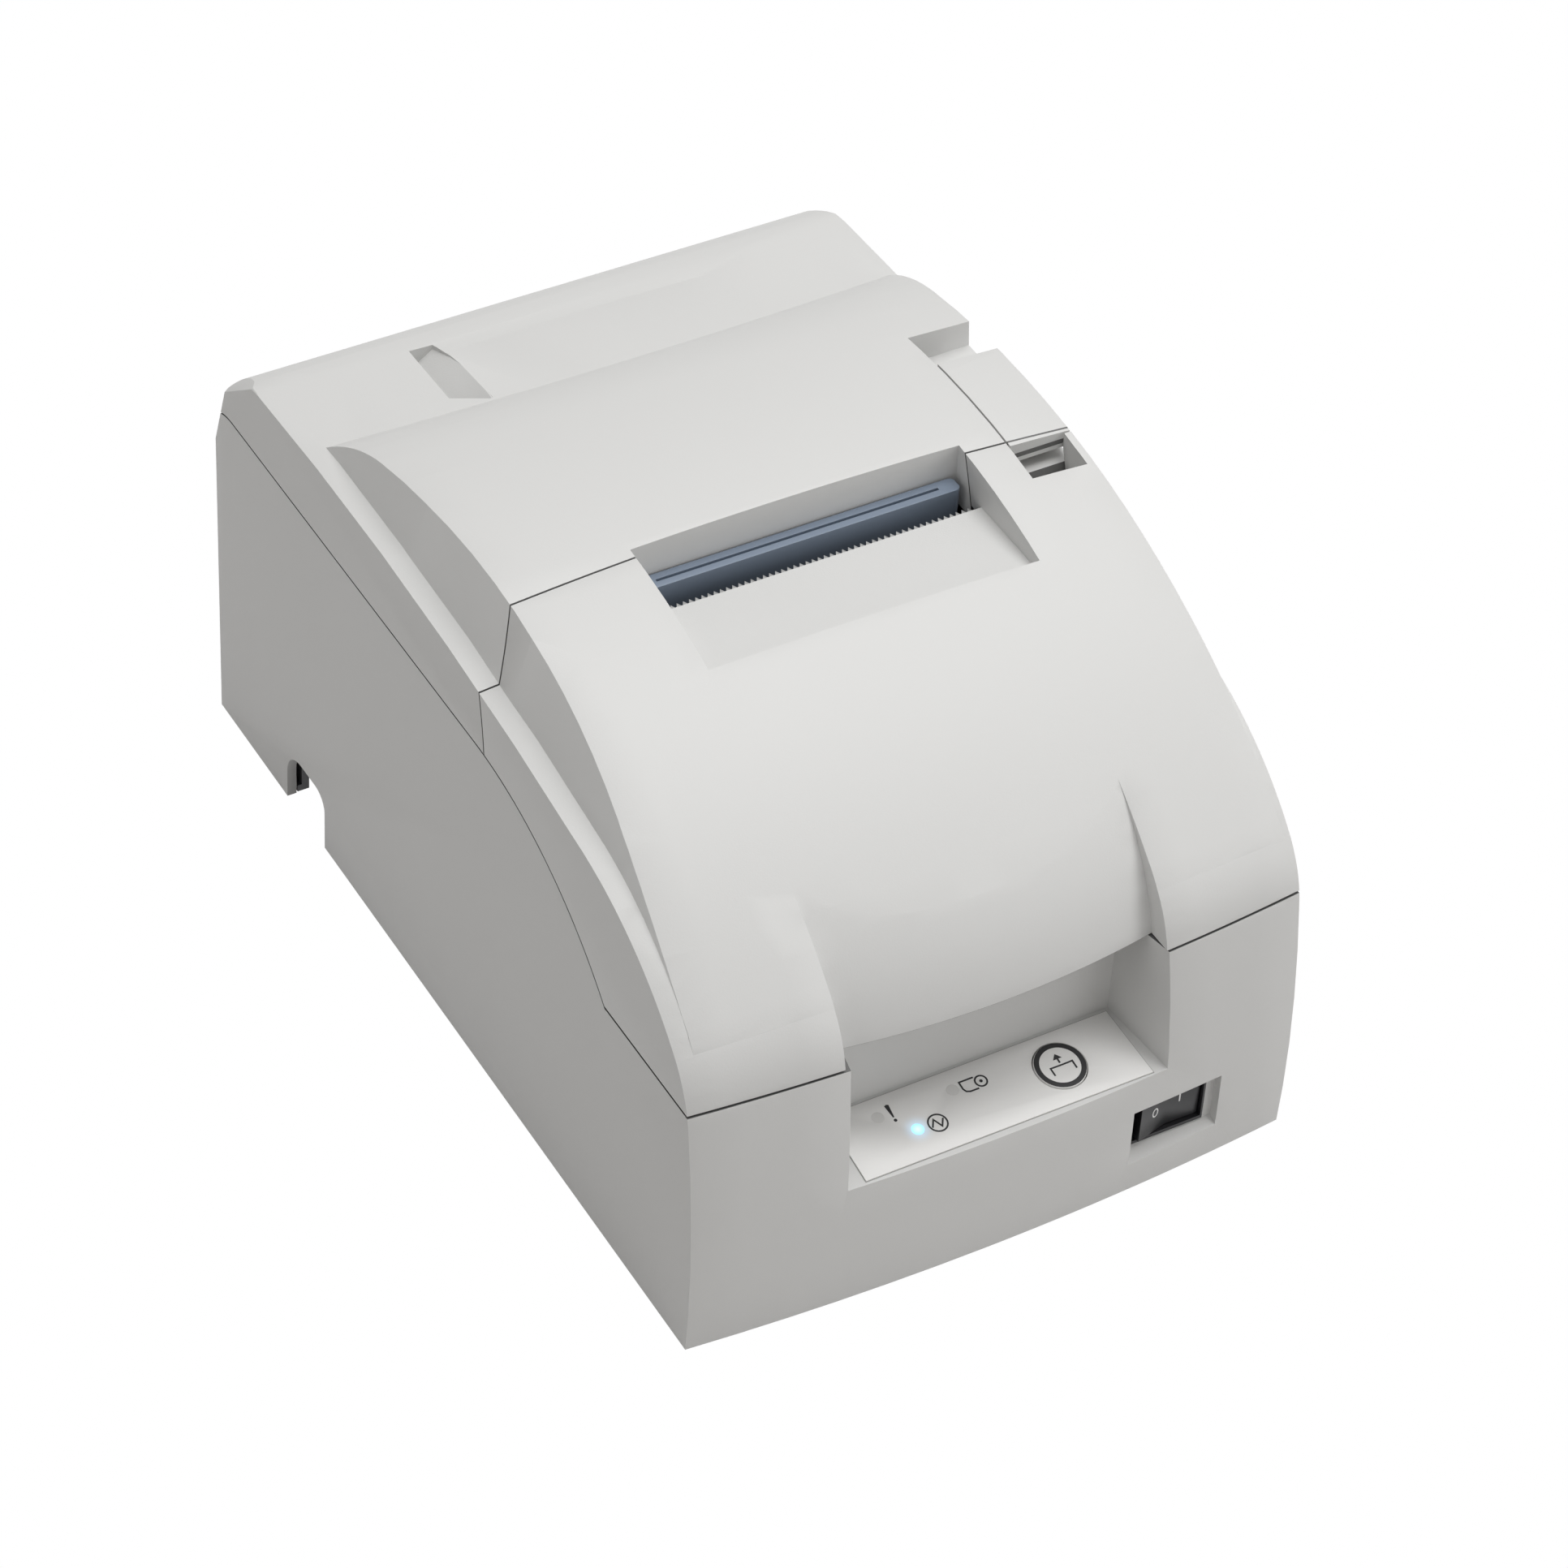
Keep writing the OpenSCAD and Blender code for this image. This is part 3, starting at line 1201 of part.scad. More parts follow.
module near_end_pin() {
    color("silver") {
        rod(tray_x[1] + tray_t, tray_x[1] + tray_t + 3.4, lever_axis[0], lever_axis[1], 1.2);
        rod(tray_x[1] + tray_t + 3, tray_x[1] + tray_t + 3.6, lever_axis[0], lever_axis[1], 2);
    }
}

body_shell();
front_cover();
rear_cover();
base_plate();
rubber_feet();
base_screws();
front_hinge_pins();
rear_hinge_pins();
open_lever();
lever_pin();
lever_spring();
tear_bar();
paper_guide();
panel_label();
feed_button();
tact_switch();
panel_board();
error_led();
paper_led();
power_led();
switch_housing();
power_rocker();
main_board();
board_standoffs();
interface_socket();
power_socket();
drawer_socket();
chips();
capacitors();
chassis();
chassis_screws();
carriage_shaft();
guide_rail();
carriage();
print_head();
timing_belt();
drive_pulley();
idler_pulley();
idler_post();
carriage_motor();
platen();
feed_roller();
feed_gear();
pinch_roller();
pinch_shaft();
roller_bushes();
middle_gear();
gear_stud();
motor_pinion();
feed_motor();
ribbon_cassette();
ribbon_band();
ribbon_knob();
roll_tray();
near_end_lever();
near_end_pin();
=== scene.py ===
import json
from math import cos, radians, sin, sqrt

import bmesh
import bpy
from mathutils import Matrix, Vector

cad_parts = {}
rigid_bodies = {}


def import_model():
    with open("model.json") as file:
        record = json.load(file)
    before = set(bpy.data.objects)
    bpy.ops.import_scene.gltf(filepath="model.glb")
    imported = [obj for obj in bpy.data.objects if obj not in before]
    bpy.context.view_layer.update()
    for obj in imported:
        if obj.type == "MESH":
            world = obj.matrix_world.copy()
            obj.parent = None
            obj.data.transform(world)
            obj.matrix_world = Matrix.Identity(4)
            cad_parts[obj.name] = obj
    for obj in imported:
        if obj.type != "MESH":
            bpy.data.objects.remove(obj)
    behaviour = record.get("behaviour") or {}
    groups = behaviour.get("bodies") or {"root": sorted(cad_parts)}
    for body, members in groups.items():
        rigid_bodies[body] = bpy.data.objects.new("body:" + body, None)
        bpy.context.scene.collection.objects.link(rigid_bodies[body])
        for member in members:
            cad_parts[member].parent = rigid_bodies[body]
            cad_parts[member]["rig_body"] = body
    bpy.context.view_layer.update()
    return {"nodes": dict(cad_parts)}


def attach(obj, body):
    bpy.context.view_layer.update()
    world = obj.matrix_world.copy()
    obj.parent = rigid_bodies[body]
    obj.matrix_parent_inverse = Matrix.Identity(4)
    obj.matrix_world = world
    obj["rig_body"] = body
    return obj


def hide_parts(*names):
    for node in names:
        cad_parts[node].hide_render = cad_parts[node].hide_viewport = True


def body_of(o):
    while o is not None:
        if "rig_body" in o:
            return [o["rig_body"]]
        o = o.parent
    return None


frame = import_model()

# The studio: a long lens from the front left and well above, held with a slight roll,
# so that the printer stands in the frame as it does on the product shot.
focal_px, photo_px, distance = 6704.56, 1932, 1.2783
azimuth, elevation, roll = radians(-32.35), radians(42.42), radians(4.08)
aim = Vector((-0.00188, -0.02083, 0.064))
back = Vector((sin(azimuth) * cos(elevation), -cos(azimuth) * cos(elevation), sin(elevation)))
level = (-back).cross(Vector((0, 0, 1))).normalized()
upright = level.cross(-back)
across = cos(roll) * level + sin(roll) * upright
upward = cos(roll) * upright - sin(roll) * level
camera = bpy.data.objects.new("camera", bpy.data.cameras.new("camera"))
camera.data.sensor_width = 36
camera.data.lens = focal_px / photo_px * camera.data.sensor_width
camera.data.clip_end = 20
turned = Matrix((across, upward, back)).transposed().to_4x4()
camera.matrix_world = Matrix.Translation(aim + back * distance) @ turned
bpy.context.collection.objects.link(camera)
bpy.context.scene.camera = camera
bpy.context.scene.view_settings.view_transform = "Standard"


# Shader maths is written as plain expressions: each operator adds its Math node.
def maths(operation, swapped=False):
    def applied(self, other=0.0):
        first, second = (other, self) if swapped else (self, other)
        return self.node("ShaderNodeMath", setup={"operation": operation}, _0=first, _1=second)
    return applied


class Wire:
    __add__ = __radd__ = maths("ADD")
    __mul__ = __rmul__ = maths("MULTIPLY")
    __sub__, __rsub__ = maths("SUBTRACT"), maths("SUBTRACT", True)
    __truediv__, __pow__ = maths("DIVIDE"), maths("POWER")
    __lt__, __gt__ = maths("LESS_THAN"), maths("GREATER_THAN")
    __abs__, least, most = maths("ABSOLUTE"), maths("MINIMUM"), maths("MAXIMUM")
    fraction, sine = maths("FRACT"), maths("SINE")

    def __init__(self, tree, socket=None):
        self.tree, self.socket = tree, socket

    def node(self, kind, outlet=0, setup=None, **inlets):
        made = self.tree.nodes.new(kind)
        for name, value in (setup or {}).items():
            setattr(made, name, value)
        for name, value in inlets.items():
            inlet = made.inputs[int(name[1:]) if name[0] == "_" else name.replace("_", " ")]
            if isinstance(value, Wire):
                self.tree.links.new(value.socket, inlet)
            else:
                inlet.default_value = value
        return Wire(self.tree, made.outputs[outlet] if made.outputs else None)

    def other(self, outlet):
        return Wire(self.tree, self.socket.node.outputs[outlet])


# A white room over a pale floor. Both show as plain white to the camera and in reflections,
# as on the product shot, and the floor only throws soft light back under the case.
def seen_directly(wire):
    path = wire.node("ShaderNodeLightPath", "Is Camera Ray")
    return path.most(path.other("Is Glossy Ray")).most(path.other("Is Transmission Ray"))


world = bpy.data.worlds.new("white_room")
bpy.context.scene.world = world
world.use_nodes = True
world.node_tree.nodes.clear()
sky = Wire(world.node_tree)
sky.node("ShaderNodeOutputWorld", Surface=sky.node(
    "ShaderNodeMixShader", _0=seen_directly(sky),
    _1=sky.node("ShaderNodeBackground", Color=(1.0, 0.98, 0.96, 1), Strength=0.27),
    _2=sky.node("ShaderNodeBackground", Color=(1, 1, 1, 1), Strength=1.0)))

floor_data = bpy.data.meshes.new("floor")
outline = bmesh.new()
bmesh.ops.create_grid(outline, x_segments=1, y_segments=1, size=6)
outline.to_mesh(floor_data)
outline.free()
floor = bpy.data.objects.new("floor", floor_data)
bpy.context.collection.objects.link(floor)
floor_paint = bpy.data.materials.new("floor_paint")
floor_paint.use_nodes = True
floor_paint.node_tree.nodes.clear()
paint = Wire(floor_paint.node_tree)
paint.node("ShaderNodeOutputMaterial", Surface=paint.node(
    "ShaderNodeMixShader", _0=seen_directly(paint),
    _1=paint.node("ShaderNodeBsdfDiffuse", Color=(0.62, 0.61, 0.60, 1)),
    _2=paint.node("ShaderNodeEmission", Color=(1, 1, 1, 1), Strength=1.0)))
floor_data.materials.append(floor_paint)


# Three soft lamps: a wide one overhead, a little to the right, one low at the front right, which
# lifts the front face over the left side, and a weak one at the left.
lit_point = Vector((0, 0, 0.06))


def soft_lamp(name, place, width, power):
    lamp = bpy.data.lights.new(name, "AREA")
    lamp.shape = "DISK"
    lamp.size = width
    lamp.energy = power
    holder = bpy.data.objects.new(name, lamp)
    facing = (lit_point - Vector(place)).to_track_quat("-Z", "Y").to_matrix().to_4x4()
    holder.matrix_world = Matrix.Translation(place) @ facing
    bpy.context.collection.objects.link(holder)


soft_lamp("overhead", (0.35, 0.0, 1.9), 1.6, 28.5)
soft_lamp("front_right", (1.05, -1.45, 0.6), 1.1, 6.6)
soft_lamp("left", (-1.5, -0.3, 0.9), 1.0, 1.6)


# The case shells, moulded in warm light grey ABS with a fine spark-eroded texture.
# A finish may hold a second one, laid where its mask of x, y and z in millimetres is one.
grain_depth, cloud_size = 0.00008, 22.0


def finish(name, colour, rough=0.5, metal=0.0, grain=0.0, grain_size=2600.0, tone=0.03,
           streak=(1, 1, 1), second=None):
    made = bpy.data.materials.new(name + "_finish")
    made.use_nodes = True
    made.node_tree.nodes.clear()
    w = Wire(made.node_tree)
    spot = w.node("ShaderNodeTexCoord", "Object")
    place = w.node("ShaderNodeMapping", _0=spot, Scale=streak)
    cloud = w.node("ShaderNodeTexNoise", Vector=place, Scale=cloud_size, Detail=3.0)
    speck = w.node("ShaderNodeTexNoise", Vector=place, Scale=grain_size, Detail=2.0)
    dark = tuple(c * (1 - 2 * tone) for c in colour) + (1,)
    shade = w.node("ShaderNodeMix", 2, {"data_type": "RGBA"}, _0=cloud * 0.6 + speck * 0.4,
                   _6=dark, _7=(*colour, 1))
    bump = w.node("ShaderNodeBump", Strength=grain, Distance=grain_depth, Height=speck)
    gloss = (cloud + speck) * 0.08 + (rough - 0.08)
    if second:
        where, colour_2, rough_2, metal_2 = second
        x = w.node("ShaderNodeSeparateXYZ", _0=spot)
        mask = where(x * 1000, x.other("Y") * 1000, x.other("Z") * 1000)
        shade = w.node("ShaderNodeMix", 2, {"data_type": "RGBA"}, _0=mask, _6=shade,
                       _7=(*colour_2, 1))
        gloss = gloss + mask * (rough_2 - rough)
        metal = mask * (metal_2 - metal) + metal
    w.node("ShaderNodeOutputMaterial", Surface=w.node(
        "ShaderNodeBsdfPrincipled", Base_Color=shade, Roughness=gloss, Metallic=metal,
        Normal=bump))
    return made


def dress(piece, material):
    piece.data.materials.clear()
    piece.data.materials.append(material)


# Each piece is a copy of its solid with welded vertices and softly rounded edges.
weld, flat, edge_angle = 0.000003, radians(0.35), radians(30)


def rounded(node, width, segments=3):
    source = frame["nodes"][node]
    mesh = bpy.data.meshes.new(node + "_piece")
    build = bmesh.new()
    build.from_mesh(source.data)
    bmesh.ops.remove_doubles(build, verts=build.verts, dist=weld)
    bmesh.ops.dissolve_degenerate(build, edges=build.edges, dist=weld)
    bmesh.ops.dissolve_limit(build, angle_limit=flat, verts=build.verts, edges=build.edges)
    build.to_mesh(mesh)
    build.free()
    mesh.shade_smooth()
    piece = bpy.data.objects.new(node + "_piece", mesh)
    bpy.context.collection.objects.link(piece)
    soft = piece.modifiers.new("soft_edges", "BEVEL")
    soft.width = width
    soft.segments = segments
    soft.limit_method = "ANGLE"
    soft.angle_limit = edge_angle
    soft.use_clamp_overlap = True
    soft.harden_normals = True
    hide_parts(node)
    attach(piece, body_of(source)[0])
    return piece


# Painted shade along the seams: the shell rims are painted dark in a narrow band there, so that
# the gaps read as dark shadow lines, and with the covers open the rims show dark. The mask is
# drawn on the side view,
# in millimetres: the front seam, the arc and the level run along the sides, the arc round the rear
# hinge, and the one between covers.
front_seam_z, side_seam_z, side_arc_y = 74.5, 102, -12
side_arc_z, side_arc_r = 12.6, 89.4
rear_hinge_y, rear_hinge_z = 114.4, 86.1
rear_arc_r, cover_arc_r = 15.9, 132.8
front_half, side_half = 0.34, 0.24


def seam_shade_mask(x, y, z):
    from_hinge = ((y - rear_hinge_y) ** 2 + (z - rear_hinge_z) ** 2) ** 0.5
    from_arc = ((y - side_arc_y) ** 2 + (z - side_arc_z) ** 2) ** 0.5
    front = (abs(z - front_seam_z) < front_half) * (y < -76.4)
    side_arc = (abs(from_arc - side_arc_r) < side_half) * (z > 74) * (y < side_arc_y)
    side = (abs(z - side_seam_z) < side_half) * (y > side_arc_y) * (y < rear_hinge_y)
    rear_arc = (abs(from_hinge - rear_arc_r) < side_half) * (y > rear_hinge_y) * (z > 90)
    between = (abs(from_hinge - cover_arc_r) < side_half) * (z > 102.2)
    return front.most(side_arc).most(side).most(rear_arc).most(between)


# The second colour of the case plastic is the painted seam shade, not a colour of the plastic
# itself.
case_plastic = finish("case_plastic", (0.645, 0.645, 0.635), rough=0.52, grain=0.25, tone=0.012,
                      second=(seam_shade_mask, (0.12, 0.12, 0.118), 0.6, 0.0))
for node in ("body_shell", "front_cover", "rear_cover", "open_lever"):
    dress(rounded(node, 0.0007), case_plastic)


# The tear bar, a blanked strip of spring steel under the edge of the flat, and the paper
# guide behind it, moulded in slate blue plastic with a shallow groove along its top.
sheet_steel = finish("sheet_steel", (0.56, 0.56, 0.55), rough=0.36, metal=0.92, grain=0.12,
                     grain_size=900.0, tone=0.05)
dress(rounded("tear_bar", 0.00008, segments=2), sheet_steel)
guide_plastic = finish("guide_plastic", (0.20, 0.245, 0.315), rough=0.34, grain=0.06, tone=0.03)
dress(rounded("paper_guide", 0.0004), guide_plastic)


# The operation panel: a screen-printed polycarbonate sheet glued into the recess, over a
# dished feed button and three lamps. The lit lamp shines a little into the sheet.
panel = Matrix.Translation((0, -0.1216, 0.0402)) @ Matrix.Rotation(radians(10), 4, "X")
power_lamp_at = panel @ Vector((-0.0187, 0.0077, 0.0003))
halo_radius, halo_strength, halo_fall, core_radius = 0.0046, 0.9, 2.4, 0.0017


def glow(material, share, start, end, strength):
    w = Wire(material.node_tree)
    away = w.node("ShaderNodeVectorMath", "Value", {"operation": "DISTANCE"},
                  _0=w.node("ShaderNodeTexCoord", "Object"), _1=power_lamp_at)
    tint = w.node("ShaderNodeMix", 2, {"data_type": "RGBA"}, _0=share(away), _6=start, _7=end)
    shader = next(node for node in w.tree.nodes if node.type == "BSDF_PRINCIPLED")
    w.tree.links.new(tint.socket, shader.inputs["Emission Color"])
    shader.inputs["Emission Strength"].default_value = strength


label_sheet = finish("label_sheet", (0.86, 0.855, 0.84), rough=0.55, grain=0.05, tone=0.008)
glow(label_sheet, lambda away: ((1 - away / halo_radius).most(0) ** halo_fall) * halo_strength,
     (0, 0, 0, 1), (0.20, 0.62, 1.0, 1), 1.0)
dress(rounded("panel_label", 0.00012, segments=2), label_sheet)
dress(rounded("feed_button", 0.0003, segments=2), label_sheet)
led_clear = finish("led_clear", (0.78, 0.775, 0.76), rough=0.25, grain=0.05, tone=0.02)
led_blue = finish("led_blue", (0.45, 0.80, 1.0), rough=0.25, grain=0.05, tone=0.02)
glow(led_blue, lambda away: (away / core_radius).least(1),
     (0.55, 0.95, 1.0, 1), (0.12, 0.50, 1.0, 1), 1.15)
for lamp, material in (("error", led_clear), ("paper", led_clear), ("power", led_blue)):
    dress(frame["nodes"][lamp + "_led"], material)


# The print on the panel and the button: black ink lines in generic symbols, each a film
# a few hundredths of a millimetre thick. A shape of no line width is a filled outline.
film_thickness, sharpest = 0.03, 0.3


def ring(x, y, r, count, start=0.0, turn=360.0):
    steps = count if turn < 360 else count - 1
    return [(x + r * cos(radians(start + turn * k / count)),
             y + r * sin(radians(start + turn * k / count))) for k in range(steps + 1)]


def inked(name, body, place, shapes, material, rest=lambda x, y: 0.0):
    build = bmesh.new()
    for points, width, closed in shapes:
        last = len(points) - 1
        if not width:
            build.faces.new([build.verts.new((x, y, rest(x, y))) for x, y in points])
            continue
        pairs = []
        for k, point in enumerate(points):
            here = Vector(point)
            into = here - Vector(points[k - 1]) if k or closed else Vector(points[1]) - here
            away = Vector(points[(k + 1) % (last + 1)]) - here if k < last or closed else into
            into, away = into.normalized(), away.normalized()
            side = Vector((-into.y - away.y, into.x + away.x)).normalized()
            side *= width / 2 / max(sharpest, side.dot(Vector((-into.y, into.x))))
            pairs.append([build.verts.new((*p, rest(*p))) for p in (here + side, here - side)])
        for k in range(last + closed):
            a, b = pairs[k], pairs[(k + 1) % (last + 1)]
            build.faces.new((a[0], a[1], b[1], b[0]))
    bmesh.ops.recalc_face_normals(build, faces=build.faces)
    for face in build.faces:
        if face.normal.z < 0:
            face.normal_flip()
    film = bmesh.ops.extrude_face_region(build, geom=list(build.faces))
    bmesh.ops.translate(build, vec=(0, 0, film_thickness),
                        verts=[v for v in film["geom"] if isinstance(v, bmesh.types.BMVert)])
    bmesh.ops.transform(build, matrix=place @ Matrix.Scale(0.001, 4), verts=build.verts)
    bmesh.ops.recalc_face_normals(build, faces=build.faces)
    mesh = bpy.data.meshes.new(name)
    build.to_mesh(mesh)
    build.free()
    piece = bpy.data.objects.new(name, mesh)
    bpy.context.collection.objects.link(piece)
    dress(piece, material)
    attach(piece, body)


def on_panel(x, y, lift):
    return panel @ Matrix.Translation((x / 1000, y / 1000, lift / 1000))


black_ink = finish("black_ink", (0.022, 0.022, 0.024), rough=0.42, grain=0.05, tone=0.03)
# The grey one is painted shade, used only for the line round the edge of the panel sheet.
edge_shade_grey = finish("edge_shade_grey", (0.34, 0.34, 0.33), rough=0.5, grain=0.05, tone=0.03)
stroke, sheet_top, button_top = 0.42, 0.305, 0.605
inked("error_symbol", "case", on_panel(-22.2, 13.6, sheet_top), [
    ([(-0.55, 2.6), (0.0, 2.85), (0.55, 2.6), (0.18, -0.9), (-0.18, -0.9)], 0, True),
    (ring(0, -1.75, 0.42, 16), 0, True)], black_ink)
inked("paper_symbol", "case", on_panel(-0.6, 13.6, sheet_top), [
    ([(0.75, 1.6), (-3.0, 1.6), (-3.0, -0.4), (-2.6, -1.25), (-1.7, -1.6), (0.6, -1.6)],
     stroke, False),
    (ring(2.0, 0.0, 1.45, 40), stroke, True),
    (ring(2.0, 0.0, 0.42, 16), 0, True)], black_ink)
inked("power_symbol", "case", on_panel(-13.6, 7.4, sheet_top), [
    (ring(0, 0, 2.3, 56), stroke, True),
    ([(-1.75, -0.75), (-0.55, 1.15), (0.55, -1.15), (1.75, 0.75)], stroke, False)], black_ink)
# A thin grey line round the foot of the panel sheet: painted shade that stands for the shadow in
# the narrow groove at its edge, not print.
edge_left, edge_right, edge_right_back, edge_front, edge_back = -36.62, 39.95, 38.62, -0.12, 19.32
inked("painted_edge_shade", "case", on_panel(0, 0, 0.01), [
    ([(edge_left, edge_front), (edge_right, edge_front), (edge_right_back, edge_back),
      (edge_left, edge_back)], 0.2, True)], edge_shade_grey)
button_x, button_y, dish_r, dish_top = 20.5, 10.0, 41.7, 42.0


def in_dish(x, y):
    return dish_top - sqrt(dish_r ** 2 - x * x - y * y)


inked("button_ring", "feed_button", on_panel(button_x, button_y, button_top), [
    (ring(0, 0, 5.55, 96), 1.25, True)], black_ink)
inked("feed_symbol", "feed_button", on_panel(button_x, button_y, 0.01), [
    ([(-2.5, -2.1), (-2.5, 0.1), (-1.0, 0.1), (0.5, 0.1), (2.0, 0.1), (3.3, 0.1), (3.3, -2.1)],
     stroke, False),
    ([(0.4, 3.3), (-0.75, 1.9), (0.18, 1.9), (0.18, 0.75), (0.62, 0.75), (0.62, 1.9), (1.55, 1.9)],
     0, True)], black_ink, in_dish)


# The power switch, a snap-in part in glossy black plastic. Its rocker carries the two
# usual signs, pad-printed in white.
gloss_black = finish("gloss_black", (0.012, 0.012, 0.014), rough=0.30, tone=0.05)
white_ink = finish("white_ink", (0.86, 0.86, 0.86), rough=0.5, tone=0.02)
dress(rounded("switch_housing", 0.0002), gloss_black)
dress(rounded("power_rocker", 0.0004), gloss_black)
rocker = Matrix.Translation((0.047, -0.114619, 0.022)) @ Matrix.Rotation(radians(7), 4, "Z")
rocker_half, rocker_rise, rocker_face = 8.8, 1.2, -4.01


def on_rocker(x, z):
    lean = Vector((rocker_half, rocker_rise if x < 0 else -rocker_rise, 0)).normalized()
    face = Matrix((lean, (0, 0, 1), (lean.y, -lean.x, 0))).transposed().to_4x4()
    spot = Vector((x, rocker_face - rocker_rise * abs(x) / rocker_half, z)) / 1000
    return rocker @ Matrix.Translation(spot) @ face


inked("off_sign", "power_rocker", on_rocker(-3.9, 1.2), [
    ([(0.8 * x, 1.25 * y) for x, y in ring(0, 0, 1.0, 32)], 0.36, True)], white_ink)
inked("on_sign", "power_rocker", on_rocker(3.4, 2.2), [([(0, -1.3), (0, 1.3)], 0.4, False)],
      white_ink)


# The base plate, moulded in dark grey plastic and screwed up into the posts of the body,
# with four rubber feet glued into it.
dark_plastic = finish("dark_plastic", (0.055, 0.056, 0.06), rough=0.5, grain=0.25, tone=0.04)
rubber = finish("rubber", (0.028, 0.028, 0.029), rough=0.72, grain=0.3, grain_size=1500.0)
bright_steel = finish("bright_steel", (0.62, 0.62, 0.62), rough=0.2, metal=1.0, grain=0.04,
                      streak=(0.08, 1, 1))
dress(rounded("base_plate", 0.0003), dark_plastic)
dress(rounded("rubber_feet", 0.0005), rubber)
dress(rounded("base_screws", 0.00015, segments=2), sheet_steel)


# The hinges: turned steel pins pressed into bosses in the side walls, and the pin and the
# torsion spring of the opening lever.
for node in ("front_hinge_pins", "rear_hinge_pins", "lever_pin", "lever_spring"):
    dress(rounded(node, 0.00008, segments=2), bright_steel)


# The chassis of the print mechanism, folded from zinc-plated sheet, with its guide rail,
# carriage shaft and platen, and the screws that hold it on the base plate's posts.
for node in ("chassis", "guide_rail", "platen", "chassis_screws"):
    dress(rounded(node, 0.00012, segments=2), sheet_steel)
for node in ("carriage_shaft", "pinch_shaft", "gear_stud", "idler_post"):
    dress(rounded(node, 0.0002, segments=2), bright_steel)


# The carriage, moulded in glass-filled nylon, which slides on the shaft. It holds the
# finned die-cast print head with its black nose.
nose_y = -23.2
aluminium = finish("aluminium", (0.52, 0.52, 0.53), rough=0.4, metal=0.9, grain=0.15,
                   second=(lambda x, y, z: y > nose_y, (0.03, 0.03, 0.032), 0.5, 0.0))
dress(rounded("carriage", 0.0004), dark_plastic)
dress(rounded("print_head", 0.00015, segments=2), aluminium)


# The carriage drive: a toothed neoprene belt over a brass drive pulley and an acetal idler,
# and the motor under the deck.
brass = finish("brass", (0.72, 0.55, 0.26), rough=0.3, metal=1.0, grain=0.05)
light_plastic = finish("light_plastic", (0.70, 0.69, 0.64), rough=0.42, grain=0.1, tone=0.03)
band_z, band_half = 45.0, 5.5
motor_case = finish("motor_case", (0.50, 0.50, 0.49), rough=0.33, metal=0.95, grain=0.1, tone=0.05,
                    second=(lambda x, y, z: abs(z - band_z) < band_half,
                            (0.045, 0.045, 0.05), 0.45, 0.1))
dress(rounded("timing_belt", 0.0001, segments=2), rubber)
dress(rounded("drive_pulley", 0.0001, segments=2), brass)
dress(rounded("idler_pulley", 0.0001, segments=2), light_plastic)
dress(rounded("carriage_motor", 0.0004), motor_case)


# The paper feed: a rubber-covered steel roller in acetal bushes, two pinch rollers against
# it, and a train of moulded gears from the motor's brass pinion.
roller_x, rubber_half = 6, 40.02
feed_rubber = finish("feed_rubber", (0.03, 0.03, 0.031), rough=0.7, grain=0.3, grain_size=1500.0,
                     second=(lambda x, y, z: abs(x - roller_x) > rubber_half,
                             (0.62, 0.62, 0.62), 0.2, 1.0))
dress(rounded("feed_roller", 0.0003), feed_rubber)
dress(rounded("pinch_roller", 0.0003), rubber)
for node in ("roller_bushes", "feed_gear", "middle_gear"):
    dress(rounded(node, 0.0001, segments=2), light_plastic)
dress(rounded("motor_pinion", 0.0001, segments=2), brass)
dress(rounded("feed_motor", 0.0004), sheet_steel)


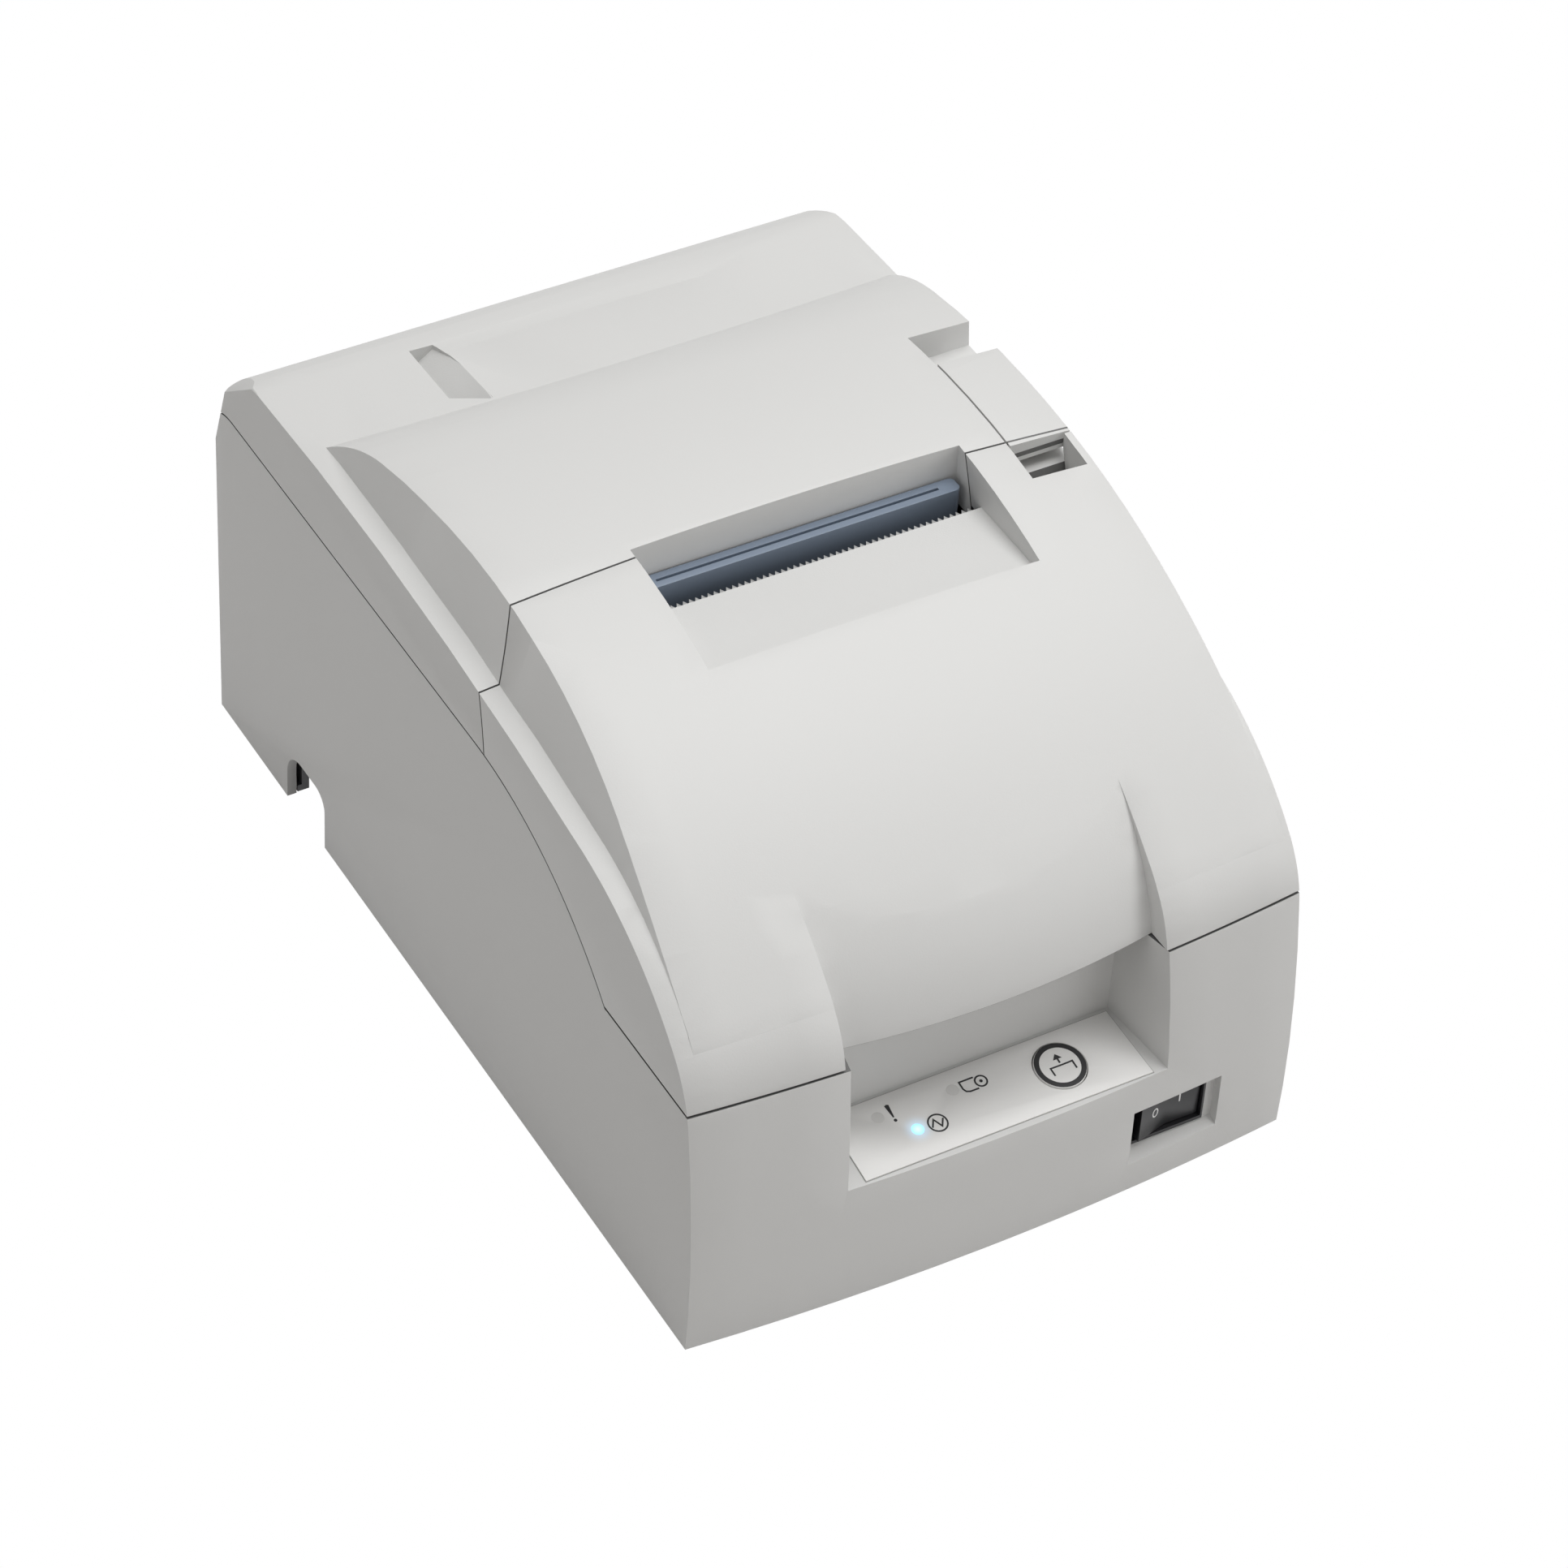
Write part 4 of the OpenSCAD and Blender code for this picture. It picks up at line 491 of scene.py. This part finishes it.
# The ribbon cassette, a snap-together box in charcoal plastic with an inked nylon band
# between its arms and a knob that tightens it.
ribbon_fabric = finish("ribbon_fabric", (0.016, 0.014, 0.024), rough=0.78, grain=0.8,
                       grain_size=5200.0, tone=0.1)
dress(rounded("ribbon_cassette", 0.0006), dark_plastic)
dress(frame["nodes"]["ribbon_band"], ribbon_fabric)
dress(rounded("ribbon_knob", 0.0003), light_plastic)
cassette_top = Matrix.Translation((-0.050, -0.066, 0.10001))
inked("knob_arrow", "case", cassette_top, [
    (ring(0, 0, 8.6, 64, 120, 120), 0.7, False),
    ([(-3.1, -8.9), (-5.6, -6.0), (-4.6, -7.4)], 0.7, False)], white_ink)


# The electronics: an epoxy board with solder mask and tracks on brass standoffs, moulded
# chips, capacitors in dark sleeves, and the sockets in the bay.
def tracks(x, y, z):
    bent = (x * 0.22 + ((y * 0.045).sine() * 1.6)).fraction()
    crossed = (y * 0.31 + ((x * 0.05).sine() * 1.3)).fraction()
    return (bent < 0.16).most(crossed < 0.13)


def in_contacts(x, y, z):
    return (abs(x - contacts_x) < contacts_half_x) * (abs(z - contacts_z) < contacts_half_z)


sleeve_top, contacts_x, contacts_z = 33.8, -1, 15
contacts_half_x, contacts_half_z = 17.65, 1.85
board_green = finish("board_green", (0.010, 0.075, 0.030), rough=0.3, grain=0.05, tone=0.05,
                     second=(tracks, (0.022, 0.14, 0.055), 0.25, 0.1))
sleeve = finish("capacitor_sleeve", (0.016, 0.022, 0.05), rough=0.32, grain=0.03,
                second=(lambda x, y, z: z > sleeve_top, (0.6, 0.6, 0.6), 0.3, 1.0))
socket_steel = finish("socket_steel", (0.58, 0.57, 0.54), rough=0.3, metal=0.95, grain=0.05,
                      second=(in_contacts, (0.02, 0.02, 0.022), 0.4, 0.0))
for node in ("main_board", "panel_board"):
    dress(rounded(node, 0.00008, segments=2), board_green)
dress(rounded("board_standoffs", 0.0002, segments=2), brass)
dress(rounded("chips", 0.0002, segments=2), gloss_black)
dress(rounded("capacitors", 0.0004), sleeve)
dress(rounded("interface_socket", 0.00012, segments=2), socket_steel)
for node in ("power_socket", "drawer_socket", "tact_switch"):
    dress(rounded(node, 0.0002, segments=2), dark_plastic)


# The tray for the paper roll, moulded in dark grey plastic, and the lever beside it that
# feels when the roll runs low.
dress(rounded("roll_tray", 0.0004), dark_plastic)
dress(rounded("near_end_lever", 0.00015, segments=2), light_plastic)
dress(rounded("near_end_pin", 0.0001, segments=2), bright_steel)
